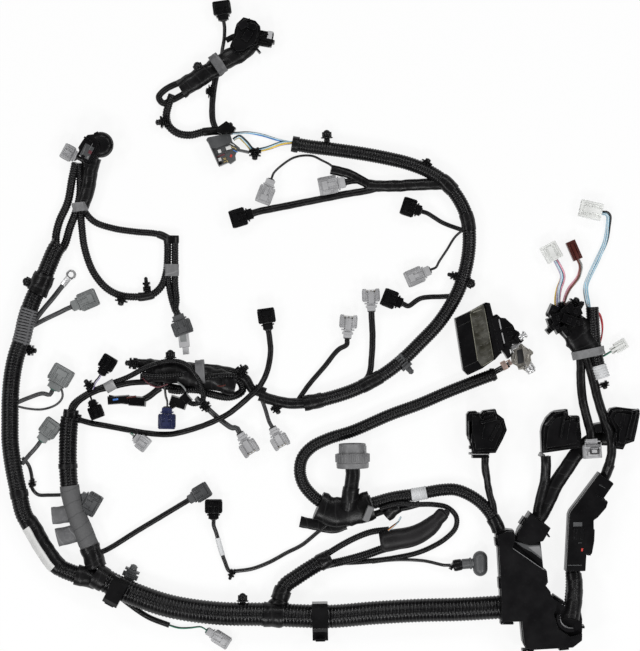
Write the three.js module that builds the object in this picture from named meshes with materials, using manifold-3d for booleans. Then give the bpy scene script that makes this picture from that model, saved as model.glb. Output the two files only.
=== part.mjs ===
// Wiring harness of a car, laid out flat: corrugated conduits, taped branches, plugs and boxes.
// Millimetres, +Z up. It lies on Z = 0 with the middle of its outline over the origin.
import * as THREE from "three";
import { mergeVertices } from "three/addons/utils/BufferGeometryUtils.js";
import Module from "manifold-3d";

const wasm = await Module();
wasm.setup();

// Layout board: places are [column, row] in its squares, with a third number in millimetres for
// how far the underside of a cable is lifted off the board. Rows grow towards the viewer.
const square = 1.35;
const middleColumn = 320.4;
const middleRow = 325.5;

// Clearances between pieces that touch
const gap = 0.3;

// Cable diameters
const mainDiameter = 32;
const leftDiameter = 24;
const centreDiameter = 25;
const upperDiameter = 19;
const batteryDiameter = 17;
const bootBranchDiameter = 22;
const cabinDiameter = 13;
const channelTubeDiameter = 21;

// Junction box, from the board up
const boxBaseHeight = 30;
const boxCoverHeight = 12;
const boxCoverInset = 2.5;

// Channel box
const channelBaseHeight = 22;
const channelCoverHeight = 8;

// Fuse box
const fuseBoxLength = 78;
const fuseBoxHeight = 34;
const fuseBoxWidth = 19;
const fuseWindowWidth = 20;
const fuseHolderWidth = 15;

// Battery clamp
const clampPostBore = 15.5;
const clampRingWidth = 24;
const clampHeight = 18;
const studDiameter = 9;
const studReach = 15;

// Ring terminal
const ringDiameter = 14;
const ringBore = 6.8;
const ringThickness = 1.6;

// Large trunk clips
const largeClipWall = 3;
const largeClipLength = 21;

// Rubber boot
const bootRearDiameter = 30;
const bootTipDiameter = 17;

// Plug walls
const plugWall = 1.8;
const leadInsert = -0.3;
const contactGap = 3.6;
const rearHollowDepth = 3;
const carriedInsert = 5;
const fuseCellDepth = 3.5;
const latchHeight = 2.2;

function material(color, roughness, metalness = 0) {
  return new THREE.MeshStandardMaterial({ color, roughness, metalness });
}

const finishes = {
  conduit: material(0x141416, 0.45),
  tape: material(0x19191b, 0.6),
  blackPlastic: material(0x1b1c1e, 0.5),
  greyPlastic: material(0x6f7272, 0.55),
  darkGreyPlastic: material(0x3d4041, 0.55),
  lightPlastic: material(0xb4b4b2, 0.5),
  whitePlastic: material(0xe6e6e0, 0.45),
  brownPlastic: material(0x4e2018, 0.5),
  bluePlastic: material(0x1c2444, 0.5),
  clearWindow: material(0x6d6a58, 0.25),
  clampMetal: material(0x9b978c, 0.35, 0.9),
  tinned: material(0xc4c4c0, 0.3, 1),
  copperLug: material(0xb5665c, 0.4, 0.7),
  rubber: material(0x17181a, 0.75),
};

// Solid from a closed geometry
function solid(geometry) {
  geometry.deleteAttribute("normal");
  geometry.deleteAttribute("uv");
  const merged = mergeVertices(geometry, 1e-4);
  const index = merged.index.array;
  const triangles = [];
  for (let i = 0; i < index.length; i += 3) {
    const [a, b, c] = [index[i], index[i + 1], index[i + 2]];
    if (a !== b && b !== c && a !== c) triangles.push(a, b, c);
  }
  return new wasm.Manifold(
    new wasm.Mesh({
      numProp: 3,
      vertProperties: new Float32Array(merged.attributes.position.array),
      triVerts: new Uint32Array(triangles),
    }),
  );
}

function joined(solids) {
  return solids.reduce((whole, piece) => whole.add(piece));
}

// The largest connected piece, once slivers cut off by a neighbour are dropped
function largest(whole) {
  const bodies = whole.decompose();
  bodies.sort((a, b) => b.volume() - a.volume());
  return bodies[0];
}

function meshOf(name, whole, finish) {
  const made = whole.getMesh();
  const geometry = new THREE.BufferGeometry();
  geometry.setAttribute("position", new THREE.BufferAttribute(made.vertProperties, 3));
  geometry.setIndex(new THREE.BufferAttribute(made.triVerts, 1));
  geometry.computeVertexNormals();
  const mesh = new THREE.Mesh(geometry, finish);
  mesh.name = name;
  return mesh;
}

// Section axes turned so that a shape drawn in X and Y runs forward along +X
const forward = new THREE.Matrix4().makeBasis(
  new THREE.Vector3(0, 1, 0),
  new THREE.Vector3(0, 0, 1),
  new THREE.Vector3(1, 0, 0),
);

// Rectangle with cut corners, its middle at (0, middleHeight)
function cutRectangle(width, height, corner, middleHeight = 0) {
  const [x, y] = [width / 2, height / 2];
  const shape = new THREE.Shape();
  shape.moveTo(-x + corner, middleHeight - y);
  shape.lineTo(x - corner, middleHeight - y);
  shape.lineTo(x, middleHeight - y + corner);
  shape.lineTo(x, middleHeight + y - corner);
  shape.lineTo(x - corner, middleHeight + y);
  shape.lineTo(-x + corner, middleHeight + y);
  shape.lineTo(-x, middleHeight + y - corner);
  shape.lineTo(-x, middleHeight - y + corner);
  shape.closePath();
  return shape;
}

// Bar of a section that runs from one x to another
function bar(shape, from, to) {
  const geometry = new THREE.ExtrudeGeometry(shape, { depth: to - from, bevelEnabled: false });
  geometry.applyMatrix4(forward);
  geometry.translate(from, 0, 0);
  return solid(geometry);
}

function block(from, to) {
  const size = to.map((value, axis) => value - from[axis]);
  const geometry = new THREE.BoxGeometry(...size);
  geometry.translate(...from.map((value, axis) => value + size[axis] / 2));
  return solid(geometry);
}

// Round rod along X with its axis at a height
function rod(diameter, from, to, height, sides = 12) {
  const geometry = new THREE.CylinderGeometry(diameter / 2, diameter / 2, to - from, sides);
  geometry.rotateZ(-Math.PI / 2);
  geometry.translate((from + to) / 2, 0, height);
  return solid(geometry);
}

// Turned shape along X from [x, radius] points
function turned(profile, height, sides) {
  const points = profile.map(([x, radius]) => new THREE.Vector2(radius, x));
  const geometry = new THREE.LatheGeometry(points, sides);
  geometry.rotateZ(-Math.PI / 2);
  geometry.translate(0, 0, height);
  return solid(geometry);
}

// Plate whose outline is given on the board
function plate(outline, from, to, cut = 0) {
  const points = outline.map(([column, row]) => {
    return new THREE.Vector2((column - middleColumn) * square, (middleRow - row) * square);
  });
  const options = { depth: to - from, bevelEnabled: false };
  if (cut > 0) {
    options.depth = to - from - cut;
    Object.assign(options, { bevelEnabled: true, bevelSegments: 1, bevelThickness: cut });
    Object.assign(options, { bevelSize: cut, bevelOffset: -cut });
  }
  const geometry = new THREE.ExtrudeGeometry(new THREE.Shape(points), options);
  geometry.translate(0, 0, from);
  const raised = solid(geometry);
  if (cut === 0) return raised;
  return raised.subtract(block([-1000, -1000, from - 50], [1000, 1000, from]));
}

function boardPoint([column, row, lift = 0], radius) {
  const x = (column - middleColumn) * square;
  const y = (middleRow - row) * square;
  return new THREE.Vector3(x, y, radius + lift);
}

// Cable along a route: a section swept on a smooth curve, never below the board
function cable({ diameter, width = diameter, route }, growth = 0) {
  const points = route.map((point) => (point.isVector3 ? point : boardPoint(point, diameter / 2)));
  const curve = new THREE.CatmullRomCurve3(points, false, "centripetal");
  const sides = 8;
  const steps = Math.ceil(curve.getLength() / (3 * width + 9));
  const section = new THREE.Shape();
  for (let side = 0; side < sides; side += 1) {
    const angle = (2 * Math.PI * side) / sides;
    const x = (diameter / 2 + growth) * Math.cos(angle);
    const y = (width / 2 + growth) * Math.sin(angle);
    if (side === 0) section.moveTo(x, y);
    else section.lineTo(x, y);
  }
  section.closePath();
  const options = { extrudePath: curve, steps: Math.min(Math.max(steps, 2), 80) };
  const geometry = new THREE.ExtrudeGeometry(section, options);
  const position = geometry.attributes.position;
  for (let i = 0; i < position.count; i += 1) {
    position.setZ(i, Math.max(position.getZ(i), -growth));
  }
  return solid(geometry);
}

// Where a piece sits: its rear on the board, the way it points and how high it is lifted
function seat(piece) {
  const matrix = new THREE.Matrix4().makeRotationZ(THREE.MathUtils.degToRad(piece.turn));
  matrix.setPosition(boardPoint([...piece.at, piece.lift ?? 0], 0));
  return matrix;
}

// The last three points of a lead that runs into a plug's tail
function intoPlug(plug) {
  const height = (plug.entryHeight ?? plug.height / 2);
  const aside = plug.entryAside ?? 0;
  const insert = plug.carrier ? carriedInsert : plug.insert ?? leadInsert;
  return [-9, insert - 3, insert].map((x) => new THREE.Vector3(x, aside, height).applyMatrix4(seat(plug)));
}

// Sealed plug: wire seal tail, hooded body open at its face, contact tongue and latch bridge
function sealedPlug({ length, width, height, tail = width * 0.62 }) {
  const tailEnd = length * 0.3;
  const middle = height / 2;
  const corner = Math.min(width, height) * 0.16;
  const inner = [width - 2 * plugWall, height - 2 * plugWall];
  const rear = block([0, -tail / 2, height * 0.14], [tailEnd + 1, tail / 2, height * 0.86]);
  const body = bar(cutRectangle(width, height, corner, middle), tailEnd, length);
  const mouth = block([length * 0.62, -inner[0] / 2, plugWall], [length + 1, inner[0] / 2, height - plugWall]);
  const tongue = block(
    [length * 0.6, -inner[0] / 2 + contactGap, plugWall + contactGap],
    [length - 2, inner[0] / 2 - contactGap, height - plugWall - contactGap],
  );
  const bridge = block(
    [length * 0.66, -width * 0.26, height - 1],
    [length * 0.86, width * 0.26, height + latchHeight],
  );
  const arm = block([tailEnd + 2, -width * 0.12, height - 1], [length * 0.74, width * 0.12, height + latchHeight * 0.6]);
  return joined([rear, body.subtract(mouth), tongue, bridge, arm]);
}

// Injector plug: two ears beside an open face, narrow tail with a skirt
function injectorPlug({ length, width, height }) {
  const middle = height / 2;
  const tailEnd = length * 0.42;
  const rear = block([0, -width * 0.25, height * 0.14], [tailEnd + 1, width * 0.25, height * 0.86]);
  const skirt = block([tailEnd * 0.35, -width * 0.33, height * 0.08], [tailEnd * 0.6, width * 0.33, height * 0.92]);
  const body = bar(cutRectangle(width, height, 2, middle), tailEnd, length);
  const notch = block([length * 0.82, -width * 0.28, -1], [length + 1, width * 0.28, height + 1]);
  const inner = width / 2 - plugWall;
  const mouth = block([length * 0.7, -inner, plugWall], [length + 1, inner, height - plugWall]);
  const latch = block([tailEnd - 2, -width * 0.16, height - 1], [length * 0.78, width * 0.16, height + latchHeight]);
  const contact = block(
    [length * 0.68, -inner + contactGap, plugWall + contactGap],
    [length - 3, inner - contactGap, height - plugWall - contactGap],
  );
  return joined([rear, skirt, body.subtract(joined([notch, mouth])), contact, latch]);
}

// Cabin plug: plain block with a row of contact cells in its face and a latch arm
function cabinPlug({ length, width, height, cells }) {
  const middle = height / 2;
  const body = bar(cutRectangle(width, height, 1, middle), 0, length);
  const pitch = (width - plugWall) / cells;
  const hollows = [];
  for (let cell = 0; cell < cells; cell += 1) {
    const y = -width / 2 + plugWall + cell * pitch;
    hollows.push(block([length - 6, y, plugWall], [length + 1, y + pitch - plugWall, height - plugWall]));
  }
  const side = width / 2 - plugWall;
  const rearHollow = block([-1, -side, plugWall], [rearHollowDepth, side, height - plugWall]);
  const arm = block([2, -width * 0.15, height - 1], [length * 0.8, width * 0.15, height + latchHeight]);
  return joined([body.subtract(joined([...hollows, rearHollow])), arm]);
}

// Control unit plug: deep body, domed wire cover, cam lever with its two cheeks and a grip
function leverPlug({ length, width, height, entryAside = 0, entryHeight = height / 2 }) {
  const middle = height / 2;
  const collar = length * 0.12;
  const dome = new THREE.Shape();
  dome.moveTo(-width * 0.34, 0);
  dome.lineTo(width * 0.34, 0);
  dome.lineTo(width * 0.42, height * 0.45);
  dome.lineTo(width * 0.28, height * 0.86);
  dome.lineTo(-width * 0.28, height * 0.86);
  dome.lineTo(-width * 0.42, height * 0.45);
  dome.closePath();
  const neckPlaced = rod(width * 0.36, 0, collar + 2, entryHeight, 12).translate([0, entryAside, 0]);
  const cover = bar(dome, collar, length * 0.52);
  const body = bar(cutRectangle(width, height, 2, middle), length * 0.5, length);
  const mouth = bar(cutRectangle(width - 5, height - 5, 1.5, middle), length - 9, length + 1);
  const cheeks = [-1, 1].map((side) => {
    const y = side * (width / 2 - 1);
    return block([length * 0.38, y - 1.6, middle - 7], [length * 0.78, y + 1.6, height - 3]);
  });
  const grip = block([length * 0.38, -width / 2, height * 0.7], [length * 0.47, width / 2, height + 3]);
  const ridges = [0.58, 0.68, 0.78, 0.88].map((share) => {
    return block([length * share, -width * 0.36, height - 1], [length * share + 2.2, width * 0.36, height + 2.5]);
  });
  return joined([neckPlaced, cover, body.subtract(mouth), ...cheeks, grip, ...ridges]);
}

// Push-in trunk fastener: strap pad, flange and barbed stud
function pushFastener({ at, turn, lift = 4 }) {
  const profile = [[0, 0], [0, 4.5], [4, 7], [5.5, 7], [6, 2.6], [9, 5], [14, 0]];
  return placed(turned(profile, 7, 6), { at, turn, lift });
}

// Strap clip: a block beside the cable
function strapClip({ at, turn, lift = 0, size = [12, 14, 11] }) {
  const [length, width, height] = size;
  const pad = block([0, -width / 2, 0], [length, width / 2, height]);
  return placed(pad, { at, turn, lift });
}

function placed(whole, piece) {
  return whole.transform(seat(piece).elements);
}

// Plugs: place of the wire entry, direction in degrees and size in millimetres
const plugs = {
  top_plug: { at: [223.5, 20], turn: 98, length: 26, width: 23, height: 16, finish: "blackPlastic" },
  top_side_plug: { at: [250, 36], turn: -10, length: 31, width: 19, height: 16, carrier: "top_bundle", finish: "blackPlastic" },
  thin_lead_plug: { at: [271, 179.5], turn: -111, length: 34, width: 20, height: 16, finish: "lightPlastic" },
  long_lead_plug: { at: [252.5, 213.3], turn: 197, length: 31, width: 23, height: 18, finish: "blackPlastic" },
  branch_plug: { at: [345, 182], turn: 191, length: 36, width: 23, height: 19, finish: "lightPlastic" },
  inner_plug: { at: [421, 211], turn: 162, length: 27, width: 23, height: 17, finish: "blackPlastic" },
  pale_plug: { at: [430, 270], turn: 203.6, length: 35, width: 21, height: 16, finish: "lightPlastic" },
  small_lead_plug: { at: [402, 303.5], turn: 158.5, length: 28, width: 23, height: 16, finish: "blackPlastic" },
  injector_plug_1: { at: [371.5, 311], turn: 92, length: 30, width: 22.5, height: 18, finish: "lightPlastic" },
  injector_plug_2: { at: [347.3, 337.8], turn: 86, length: 31, width: 22.5, height: 18, finish: "lightPlastic" },
  white_plug_1: { at: [602, 212.5], turn: 167, length: 30, width: 23, height: 15, finish: "whitePlastic" },
  white_plug_2: { at: [556, 260], turn: 119, length: 24, width: 23, height: 15, finish: "whitePlastic" },
  brown_plug: { at: [578.3, 259.5], turn: 113.6, length: 27, width: 13, height: 15, finish: "brownPlastic" },
  white_plug_3: { at: [611.5, 351.5], turn: 31, length: 24, width: 14, height: 12, carrier: "cabin_cable", finish: "whitePlastic" },
  tape_end_plug: { at: [590.4, 438.5], turn: -86, lift: 13, length: 26, width: 25, height: 17, finish: "lightPlastic" },
  ear_plug_1: { at: [72, 306.5], turn: 23, length: 36, width: 23, height: 18, finish: "greyPlastic" },
  ear_plug_2: { at: [53, 389], turn: 60, length: 33, width: 29, height: 18, finish: "greyPlastic" },
  ear_plug_3: { at: [41, 440.5], turn: 54, length: 32, width: 23, height: 18, finish: "greyPlastic" },
  oval_plug: { at: [80, 497.5], turn: -30, length: 28, width: 29, height: 20, finish: "darkGreyPlastic" },
  strip_lead_plug: { at: [189, 500], turn: 31, length: 31, width: 20, height: 17, finish: "darkGreyPlastic" },
  sensor_plug: { at: [213.5, 519], turn: 90, length: 26, width: 22, height: 16, finish: "blackPlastic" },
  under_plug: { at: [207, 631], turn: -32, length: 35, width: 16, height: 14, finish: "lightPlastic" },
  fold_plug_1: { at: [101, 374], turn: 59, length: 27, width: 20, height: 16, carrier: "fold_bundle", finish: "blackPlastic" },
  fold_plug_2: { at: [91.5, 401], turn: -69, length: 25, width: 18, height: 15, carrier: "fold_bundle", finish: "blackPlastic" },
  clear_plug: { at: [134.5, 437], turn: -38, length: 22, width: 19, height: 14, carrier: "cross_lead", finish: "lightPlastic" },
  blue_plug: { at: [167, 407.5], turn: -91, length: 29, width: 22, height: 18, finish: "bluePlastic" },
  pair_plug_1: { at: [240, 433.5], turn: -58, length: 33, width: 22, height: 18, finish: "lightPlastic" },
  pair_plug_2: { at: [272.5, 428], turn: -61, length: 30, width: 22, height: 18, finish: "lightPlastic" },
  tall_lead_plug: { at: [268.3, 329.5], turn: 98, length: 29, width: 22, height: 18, finish: "blackPlastic" },
  loop_end_plug: { at: [177.5, 315], turn: -70, length: 28, width: 25, height: 18, finish: "darkGreyPlastic" },
  drum_side_plug: {
    at: [76.5, 157], turn: 152, length: 21, width: 20, height: 16, carrier: "drum_branch", finish: "lightPlastic",
  },
  control_plug_1: { at: [484.5, 457], turn: 88, length: 63, width: 50, height: 40, finish: "blackPlastic" },
  control_plug_2: { at: [560, 455], turn: 92, length: 61, width: 50, height: 40, finish: "blackPlastic" },
  control_plug_3: { at: [616, 437], turn: 8, length: 31, width: 50, height: 38, finish: "blackPlastic" },
};
plugs.control_plug_2.entryAside = 20;
plugs.control_plug_3.entryHeight = 9;

// The forms that differ from the sealed plug; cabin plugs give their number of cells
const injectorPlugs = ["injector_plug_1", "injector_plug_2", "pair_plug_1", "pair_plug_2"];
const cabinPlugs = { white_plug_1: 4, white_plug_2: 4, brown_plug: 2, white_plug_3: 3 };
const leverPlugs = ["control_plug_1", "control_plug_2", "control_plug_3"];
for (const name of Object.keys(cabinPlugs)) plugs[name].insert = rearHollowDepth - gap;

// Ring terminal at the end of its lead
const ringTerminal = { at: [62.3, 285.1], turn: 52, height: 7, lift: 0 };

// Round plug on its short tube
const roundPlug = { at: [352.6, 468], turn: 91, length: 34, width: 48, height: 44 };

// Drum connector on the left branch
const drum = { at: [94, 160], turn: 58, length: 40, width: 34, height: 34 };

// Grey fuse plug between the upper trunk and the folded branch
const fusePlug = { at: [233, 139.5], turn: 212, length: 36, width: 31, height: 20, entryHeight: 10 };

// Sensor plug with a crosswise head
const teePlug = { at: [451, 565.5], turn: 0, length: 50, width: 34, height: 16 };

// Cables, group by group: each group is one solid, the later ones cut back from the earlier
const cableGroups = {
  main_trunk: {
    finish: "conduit",
    runs: [
      {
        diameter: mainDiameter,
        route: [
          [504, 606.5], [460, 609], [420, 610], [375, 612.5], [331, 616], [300, 615.5], [266, 614], [220, 613],
          [173, 606.5], [140, 596], [115, 585], [95, 574],
        ],
      },
      { diameter: 8, route: [[116, 594, 3], [129, 605], [148, 617.7], [169, 626]] },
      { diameter: 3.2, route: [[167, 625.2, 2.4], [178, 628.6, 2], [190, 628.5, 3], ...intoPlug(plugs.under_plug)] },
    ],
    extras: [pushFastener({ at: [242.7, 604], turn: 90, lift: 9 }), strapClip({ at: [128, 580], turn: 66, size: [22, 22, 12] })],
  },
  left_trunk: {
    finish: "conduit",
    runs: [
      {
        diameter: leftDiameter,
        route: [
          [99, 580], [86, 577], [72, 573], [58, 566], [43, 546], [32, 527], [24.2, 514.8], [18.2, 490.6], [13.3, 466.4],
          [10.2, 442], [10, 421.8], [10.3, 398.9], [12.2, 376], [16, 356.8], [22.2, 337.7], [27, 317],
          [33.7, 298], [41, 284], [49, 264.5], [56, 249], [60.3, 243.5],
        ],
      },
      { diameter: 7, route: [[31, 326, 8], [40, 313, 3], [53, 297], ...intoPlug(ringTerminal)] },
      { diameter: 6.5, route: [[32, 326, 4], [45, 319], [60, 312, 3], ...intoPlug(plugs.ear_plug_1)] },
      { diameter: 6, route: [[16, 403, 9], [28, 398, 3], [42, 393.5, 4], ...intoPlug(plugs.ear_plug_2)] },
      {
        diameter: 3.2,
        route: [[16, 406, 9], [27, 408.8, 2], [42, 409.5], [56, 404.5], [62, 397, 4], [61, 389, 8], [58, 385, 8]],
      },
      { diameter: 6, route: [[22, 464, 8], [28, 456, 3], [34, 449.5, 4], ...intoPlug(plugs.ear_plug_3)] },
      { diameter: 5, route: [[22, 458, 4], [28, 466], [31, 478], [31, 488], [37, 495], [48, 495.6], [60, 495.4]] },
    ],
    extras: [
      pushFastener({ at: [33, 284.5], turn: 155, lift: 3 }),
      strapClip({ at: [26, 350], turn: -5, size: [14, 15, 13] }),
      strapClip({ at: [31, 487], turn: 80, size: [12, 11, 10] }),
    ],
  },
  centre_trunk: {
    finish: "tape",
    runs: [
      {
        diameter: centreDiameter,
        route: [
          [97, 568], [93.5, 557], [89, 545], [83, 530], [76, 513], [70, 490], [68, 466], [68, 445], [69, 425], [70, 417],
        ],
      },
      { diameter: 14, width: 24, route: [[76, 512, 4], [66, 514.5, 4], [52, 516, 4]] },
      { diameter: 14, width: 25, route: [[82, 530, 4], [72, 534, 4], [57, 538, 4]] },
      { diameter: 6, width: 7.4, route: [[95, 552, 10], [102, 552, 3], [140, 529.5, 2], ...intoPlug(plugs.strip_lead_plug)] },
      { diameter: 9, route: [[70, 492, 6], ...intoPlug(plugs.oval_plug)] },
    ],
    extras: [],
  },
  upper_trunk: {
    finish: "conduit",
    runs: [
      {
        diameter: upperDiameter,
        route: [
          [303.7, 403.5], [326, 399], [354, 390], [382, 375.5], [402, 360.5], [420, 343], [438, 324], [451, 305],
          [460, 287], [467, 263], [469.5, 238], [467.5, 219], [460, 201], [447, 184], [430, 172], [409, 163.5],
          [391, 159], [365, 154], [334, 149.5], [310, 146.5], [292, 143.5],
        ],
      },
      { diameter: 15, route: [[306, 403, 2], [290, 403.5], [272, 400], [259.5, 395.5]] },
      { diameter: 8.5, route: [[360, 386, 5], [369, 375, 2], [372, 355], [372.6, 335, 2], ...intoPlug(plugs.injector_plug_1)] },
      { diameter: 7, route: [[297, 402, 5], [308, 386], [325, 366, 1], [338, 350, 4], ...intoPlug(plugs.injector_plug_2)] },
      { diameter: 3.4, route: [[466, 228, 8], [456, 236, 2], [447, 250, 1], [439, 262, 4], ...intoPlug(plugs.pale_plug)] },
      { diameter: 6.2, route: [[468, 231, 6], [458, 228.3, 2], [442, 222, 2], ...intoPlug(plugs.inner_plug)] },
      { diameter: 7, route: [[456, 296, 6], [444, 296.5, 1], [421, 298.3, 2], ...intoPlug(plugs.small_lead_plug)] },
      { diameter: 12, width: 16, route: [[447, 184, 2], [430, 184, 2], [404, 185.2], [386, 186], [366, 185]] },
      { diameter: 10, route: [[378, 187.5, 1], [366, 190.5], [345, 194], [320, 199], [290, 205], ...intoPlug(plugs.long_lead_plug)] },
      { diameter: 9, route: [[376, 185, 2], [364, 181, 2], ...intoPlug(plugs.branch_plug)] },
      { diameter: 9, width: 13, route: [[368, 184, 4], [358, 178.5, 4], [348, 173.5, 6], [331, 169.5, 9]] },
      {
        diameter: 3.2,
        route: [
          [338, 171.5, 12], [330, 164.5, 8], [322, 160, 2], [311.5, 155.3, 1], [294.6, 156.8], [280, 166.3, 3],
          ...intoPlug(plugs.thin_lead_plug),
        ],
      },
      { diameter: 5.5, route: [[260, 395, 5], [265, 408.7, 3], ...intoPlug(plugs.pair_plug_2)] },
    ],
    extras: [
      pushFastener({ at: [327, 141], turn: 92, lift: 2 }),
      strapClip({ at: [424.5, 167], turn: 62, size: [13, 17, 17] }),
      strapClip({ at: [459, 277], turn: 165, size: [16, 12, 14] }),
      pushFastener({ at: [465, 280.5], turn: -28, lift: 2 }),
      strapClip({ at: [405, 362], turn: -50, size: [21, 12, 14] }),
      strapClip({ at: [274, 405], turn: -60, size: [14, 15, 12] }),
    ],
  },
  box_conduit: {
    finish: "conduit",
    runs: [
      {
        diameter: batteryDiameter,
        route: [
          [495.8, 373.6], [476, 381], [448, 392], [420, 404], [390, 415], [353, 431], [328, 439], [311.5, 447.4],
          [302.3, 458.2], [299.9, 471.5], [303.2, 483.9], [311.5, 494.7], [320.6, 502], [334, 509],
        ],
      },
      { diameter: 5, route: [[488, 374.5, 9], [494, 370.5, 10], [500, 367, 10], [508.5, 362.8, 9]] },
      { diameter: 5, route: [[490, 377.5, 2], [497, 373, 4], [503, 369.8, 8], [510, 366, 9]] },
      { diameter: 20, width: 40, route: [[318, 506, 2], [330, 511], [345, 512], [360, 509, 1], [372, 505, 2]] },
      {
        diameter: batteryDiameter,
        route: [
          [352, 508], [372, 503.5], [393.4, 497.7], [419.3, 494], [442.5, 490], [456, 490], [469.3, 495],
          [481, 503], [489.8, 512.9], [496, 523.6], [499.5, 531.5],
        ],
      },
      { diameter: 9, route: [[344.6, 524.5], [362, 519], [386, 511], [404, 508.2, 0], [420, 504, 2]] },
      {
        diameter: 5.5,
        route: [
          [334, 520, 3], [318, 532.5], [302, 545.5], [286.4, 553.5], [269, 563], [251.8, 569.5], [238, 571.5],
          [229.4, 572], [224.5, 562], [220.5, 550, 1], [216, 533, 3], ...intoPlug(plugs.sensor_plug),
        ],
      },
      { diameter: 4, width: 15, route: [[300, 522, 2], [314, 525, 2], [332, 528.5, 2], [346, 525, 5]] },
      { diameter: 17, route: [[348, 508, 6], [349.5, 500, 10], [351, 487, 12], ...intoPlug({ ...roundPlug, entryHeight: 22 })] },
      { diameter: 10, route: [[496, 523, 3], [493, 507, 5], [489, 490, 6], ...intoPlug(plugs.control_plug_1)] },
    ],
    extras: [strapClip({ at: [233, 570], turn: -110, size: [15, 10, 8] })],
  },
  boot_branch: {
    finish: "conduit",
    runs: [
      {
        diameter: bootBranchDiameter,
        route: [[279, 600, 4], [285, 586, 1], [297, 577], [310, 568.5], [322, 561.5], [331, 557.5]],
      },
      { diameter: 9, route: [[322, 557, 10], [341.3, 545.3, 6], [358, 537, 3], [372, 532, 4], [389, 529.5, 8]] },
      { diameter: 12, route: [[320, 566, 5], [345, 561, 1], [366, 555, 2], [381, 549.5, 5], [391, 546.5, 8]] },
      {
        diameter: 7.5,
        route: [
          [380, 508.5, 11], [391.6, 505, 14], [403, 503.2, 12], [415.7, 504.4, 8], [433.6, 504.8, 3], [447.9, 508], [456.5, 517],
          [456, 528], [446, 539], [430, 548.5], [415.7, 554], [397.9, 557.8], [380, 560.5], [350, 563], [326, 562, 4],
        ],
      },
      {
        diameter: 4.5,
        route: [[372, 563], [388, 561], [403.2, 560.4], [425, 561.5, 2], ...intoPlug(teePlug)],
      },
      { diameter: 12, width: 17, route: [[386, 516, 3], [392, 511, 5], [398, 506, 7]] },
    ],
    extras: [],
  },
  control_leads: {
    finish: "tape",
    runs: [
      { diameter: 10, width: 14, route: [[537, 527, 4], [538, 512, 4], [541, 497, 5], [545, 480, 7], ...intoPlug(plugs.control_plug_2)] },
      {
        diameter: 12,
        width: 21,
        route: [[534, 525, 4], [543, 512], [549, 500], [556, 485], [566, 470], [577, 454], [586, 445], [596, 439, 1], [603, 438, 2], ...intoPlug(plugs.control_plug_3)],
      },
    ],
    extras: [],
  },
  cabin_cable: {
    finish: "tape",
    runs: [
      {
        diameter: channelTubeDiameter,
        route: [[569.5, 617, 4], [572, 600, 1], [573.3, 585], [573, 568], [573, 560]],
      },
      {
        diameter: cabinDiameter + 2,
        route: [[573, 570, 3], [574, 545, 3], [576, 520, 3], [586, 500, 3], [598, 487, 3], [604, 477, 9], [608.5, 464, 16]],
      },
      {
        diameter: cabinDiameter,
        route: [
          [608, 466, 17], [610.5, 450, 20], [609, 433, 18], [604, 420, 12], [598.5, 400, 3], [594.5, 384],
          [590, 366], [583, 345], [576, 330], [570, 320],
        ],
      },
      {
        diameter: 8,
        width: 12.5,
        route: [[579, 340], [581.4, 361], [581.5, 380], [583, 400, 4], [587.5, 422, 14], ...intoPlug(plugs.tape_end_plug)],
      },
      { diameter: channelTubeDiameter - 3, route: [[592.5, 307], [593.5, 325], [595, 345], [598, 362], [603, 378]] },
      { diameter: 22, width: 40, route: [[560, 312], [570, 322], [580, 336], [586, 352]] },
      { diameter: 4, route: [[590, 312, 12], [599, 313, 5], [603, 325, 2], [601, 340, 4], [596, 350, 12]] },
      {
        diameter: 6,
        width: 7,
        route: [
          [590, 312, 6], [588, 303, 4], [586.2, 286.2, 1], [591, 274], [599, 258], [606.2, 242], [608.8, 227],
          ...intoPlug(plugs.white_plug_1),
        ],
      },
      {
        diameter: 6,
        width: 8,
        route: [[563, 318, 12], [558, 306, 6], [559, 290.4, 1], [563, 276, 1], ...intoPlug(plugs.white_plug_2)],
      },
      {
        diameter: 4.5,
        width: 6,
        route: [[566, 318, 12], [564, 304, 6], [569.4, 290, 1], [579, 277, 1], ...intoPlug(plugs.brown_plug)],
      },
      { diameter: 3, route: [[595, 359, 10], [604, 356, 4], ...intoPlug(plugs.white_plug_3)] },
    ],
    extras: [
      strapClip({ at: [560, 318], turn: 160, size: [20, 18, 18] }),
      strapClip({ at: [572, 308], turn: 60, size: [16, 18, 20] }),
      strapClip({ at: [604, 382], turn: -75, size: [10, 14, 14] }),
    ],
  },
  drum_branch: {
    finish: "conduit",
    runs: [
      { diameter: 20, route: [[94.5, 158, 5], [91, 170, 3], [88, 188, 2], [83, 203], [79, 212]] },
      { diameter: 6, route: [[84, 176, 6], [85, 165, 8], ...intoPlug(plugs.drum_side_plug)] },
      { diameter: 11.5, route: [[75.5, 163, 6], [71.6, 179], [67.3, 202], [59, 221], [55.4, 236], [56, 247.5, 4]] },
      { diameter: 11.5, route: [[79.5, 163, 4], [80, 179], [79.5, 195], [76, 210], [69.5, 227.3], [65, 243, 2], [62, 249, 4]] },
      {
        diameter: 10.5,
        route: [
          [80, 205, 4], [81.5, 227.3, 2], [84.2, 248.3], [92.6, 271.5], [105.2, 287.3], [118, 294.6], [134.7, 296.8],
          [151.5, 294.6], [161, 286.2], [166, 272], [167.3, 256], [167.3, 240],
        ],
      },
      {
        diameter: 9.5,
        route: [[82, 205, 4], [86, 213.6, 1], [94.7, 222], [113.6, 228.3], [134.7, 231.5], [157.8, 234], [171, 240, 1]],
      },
      {
        diameter: 10,
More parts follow.
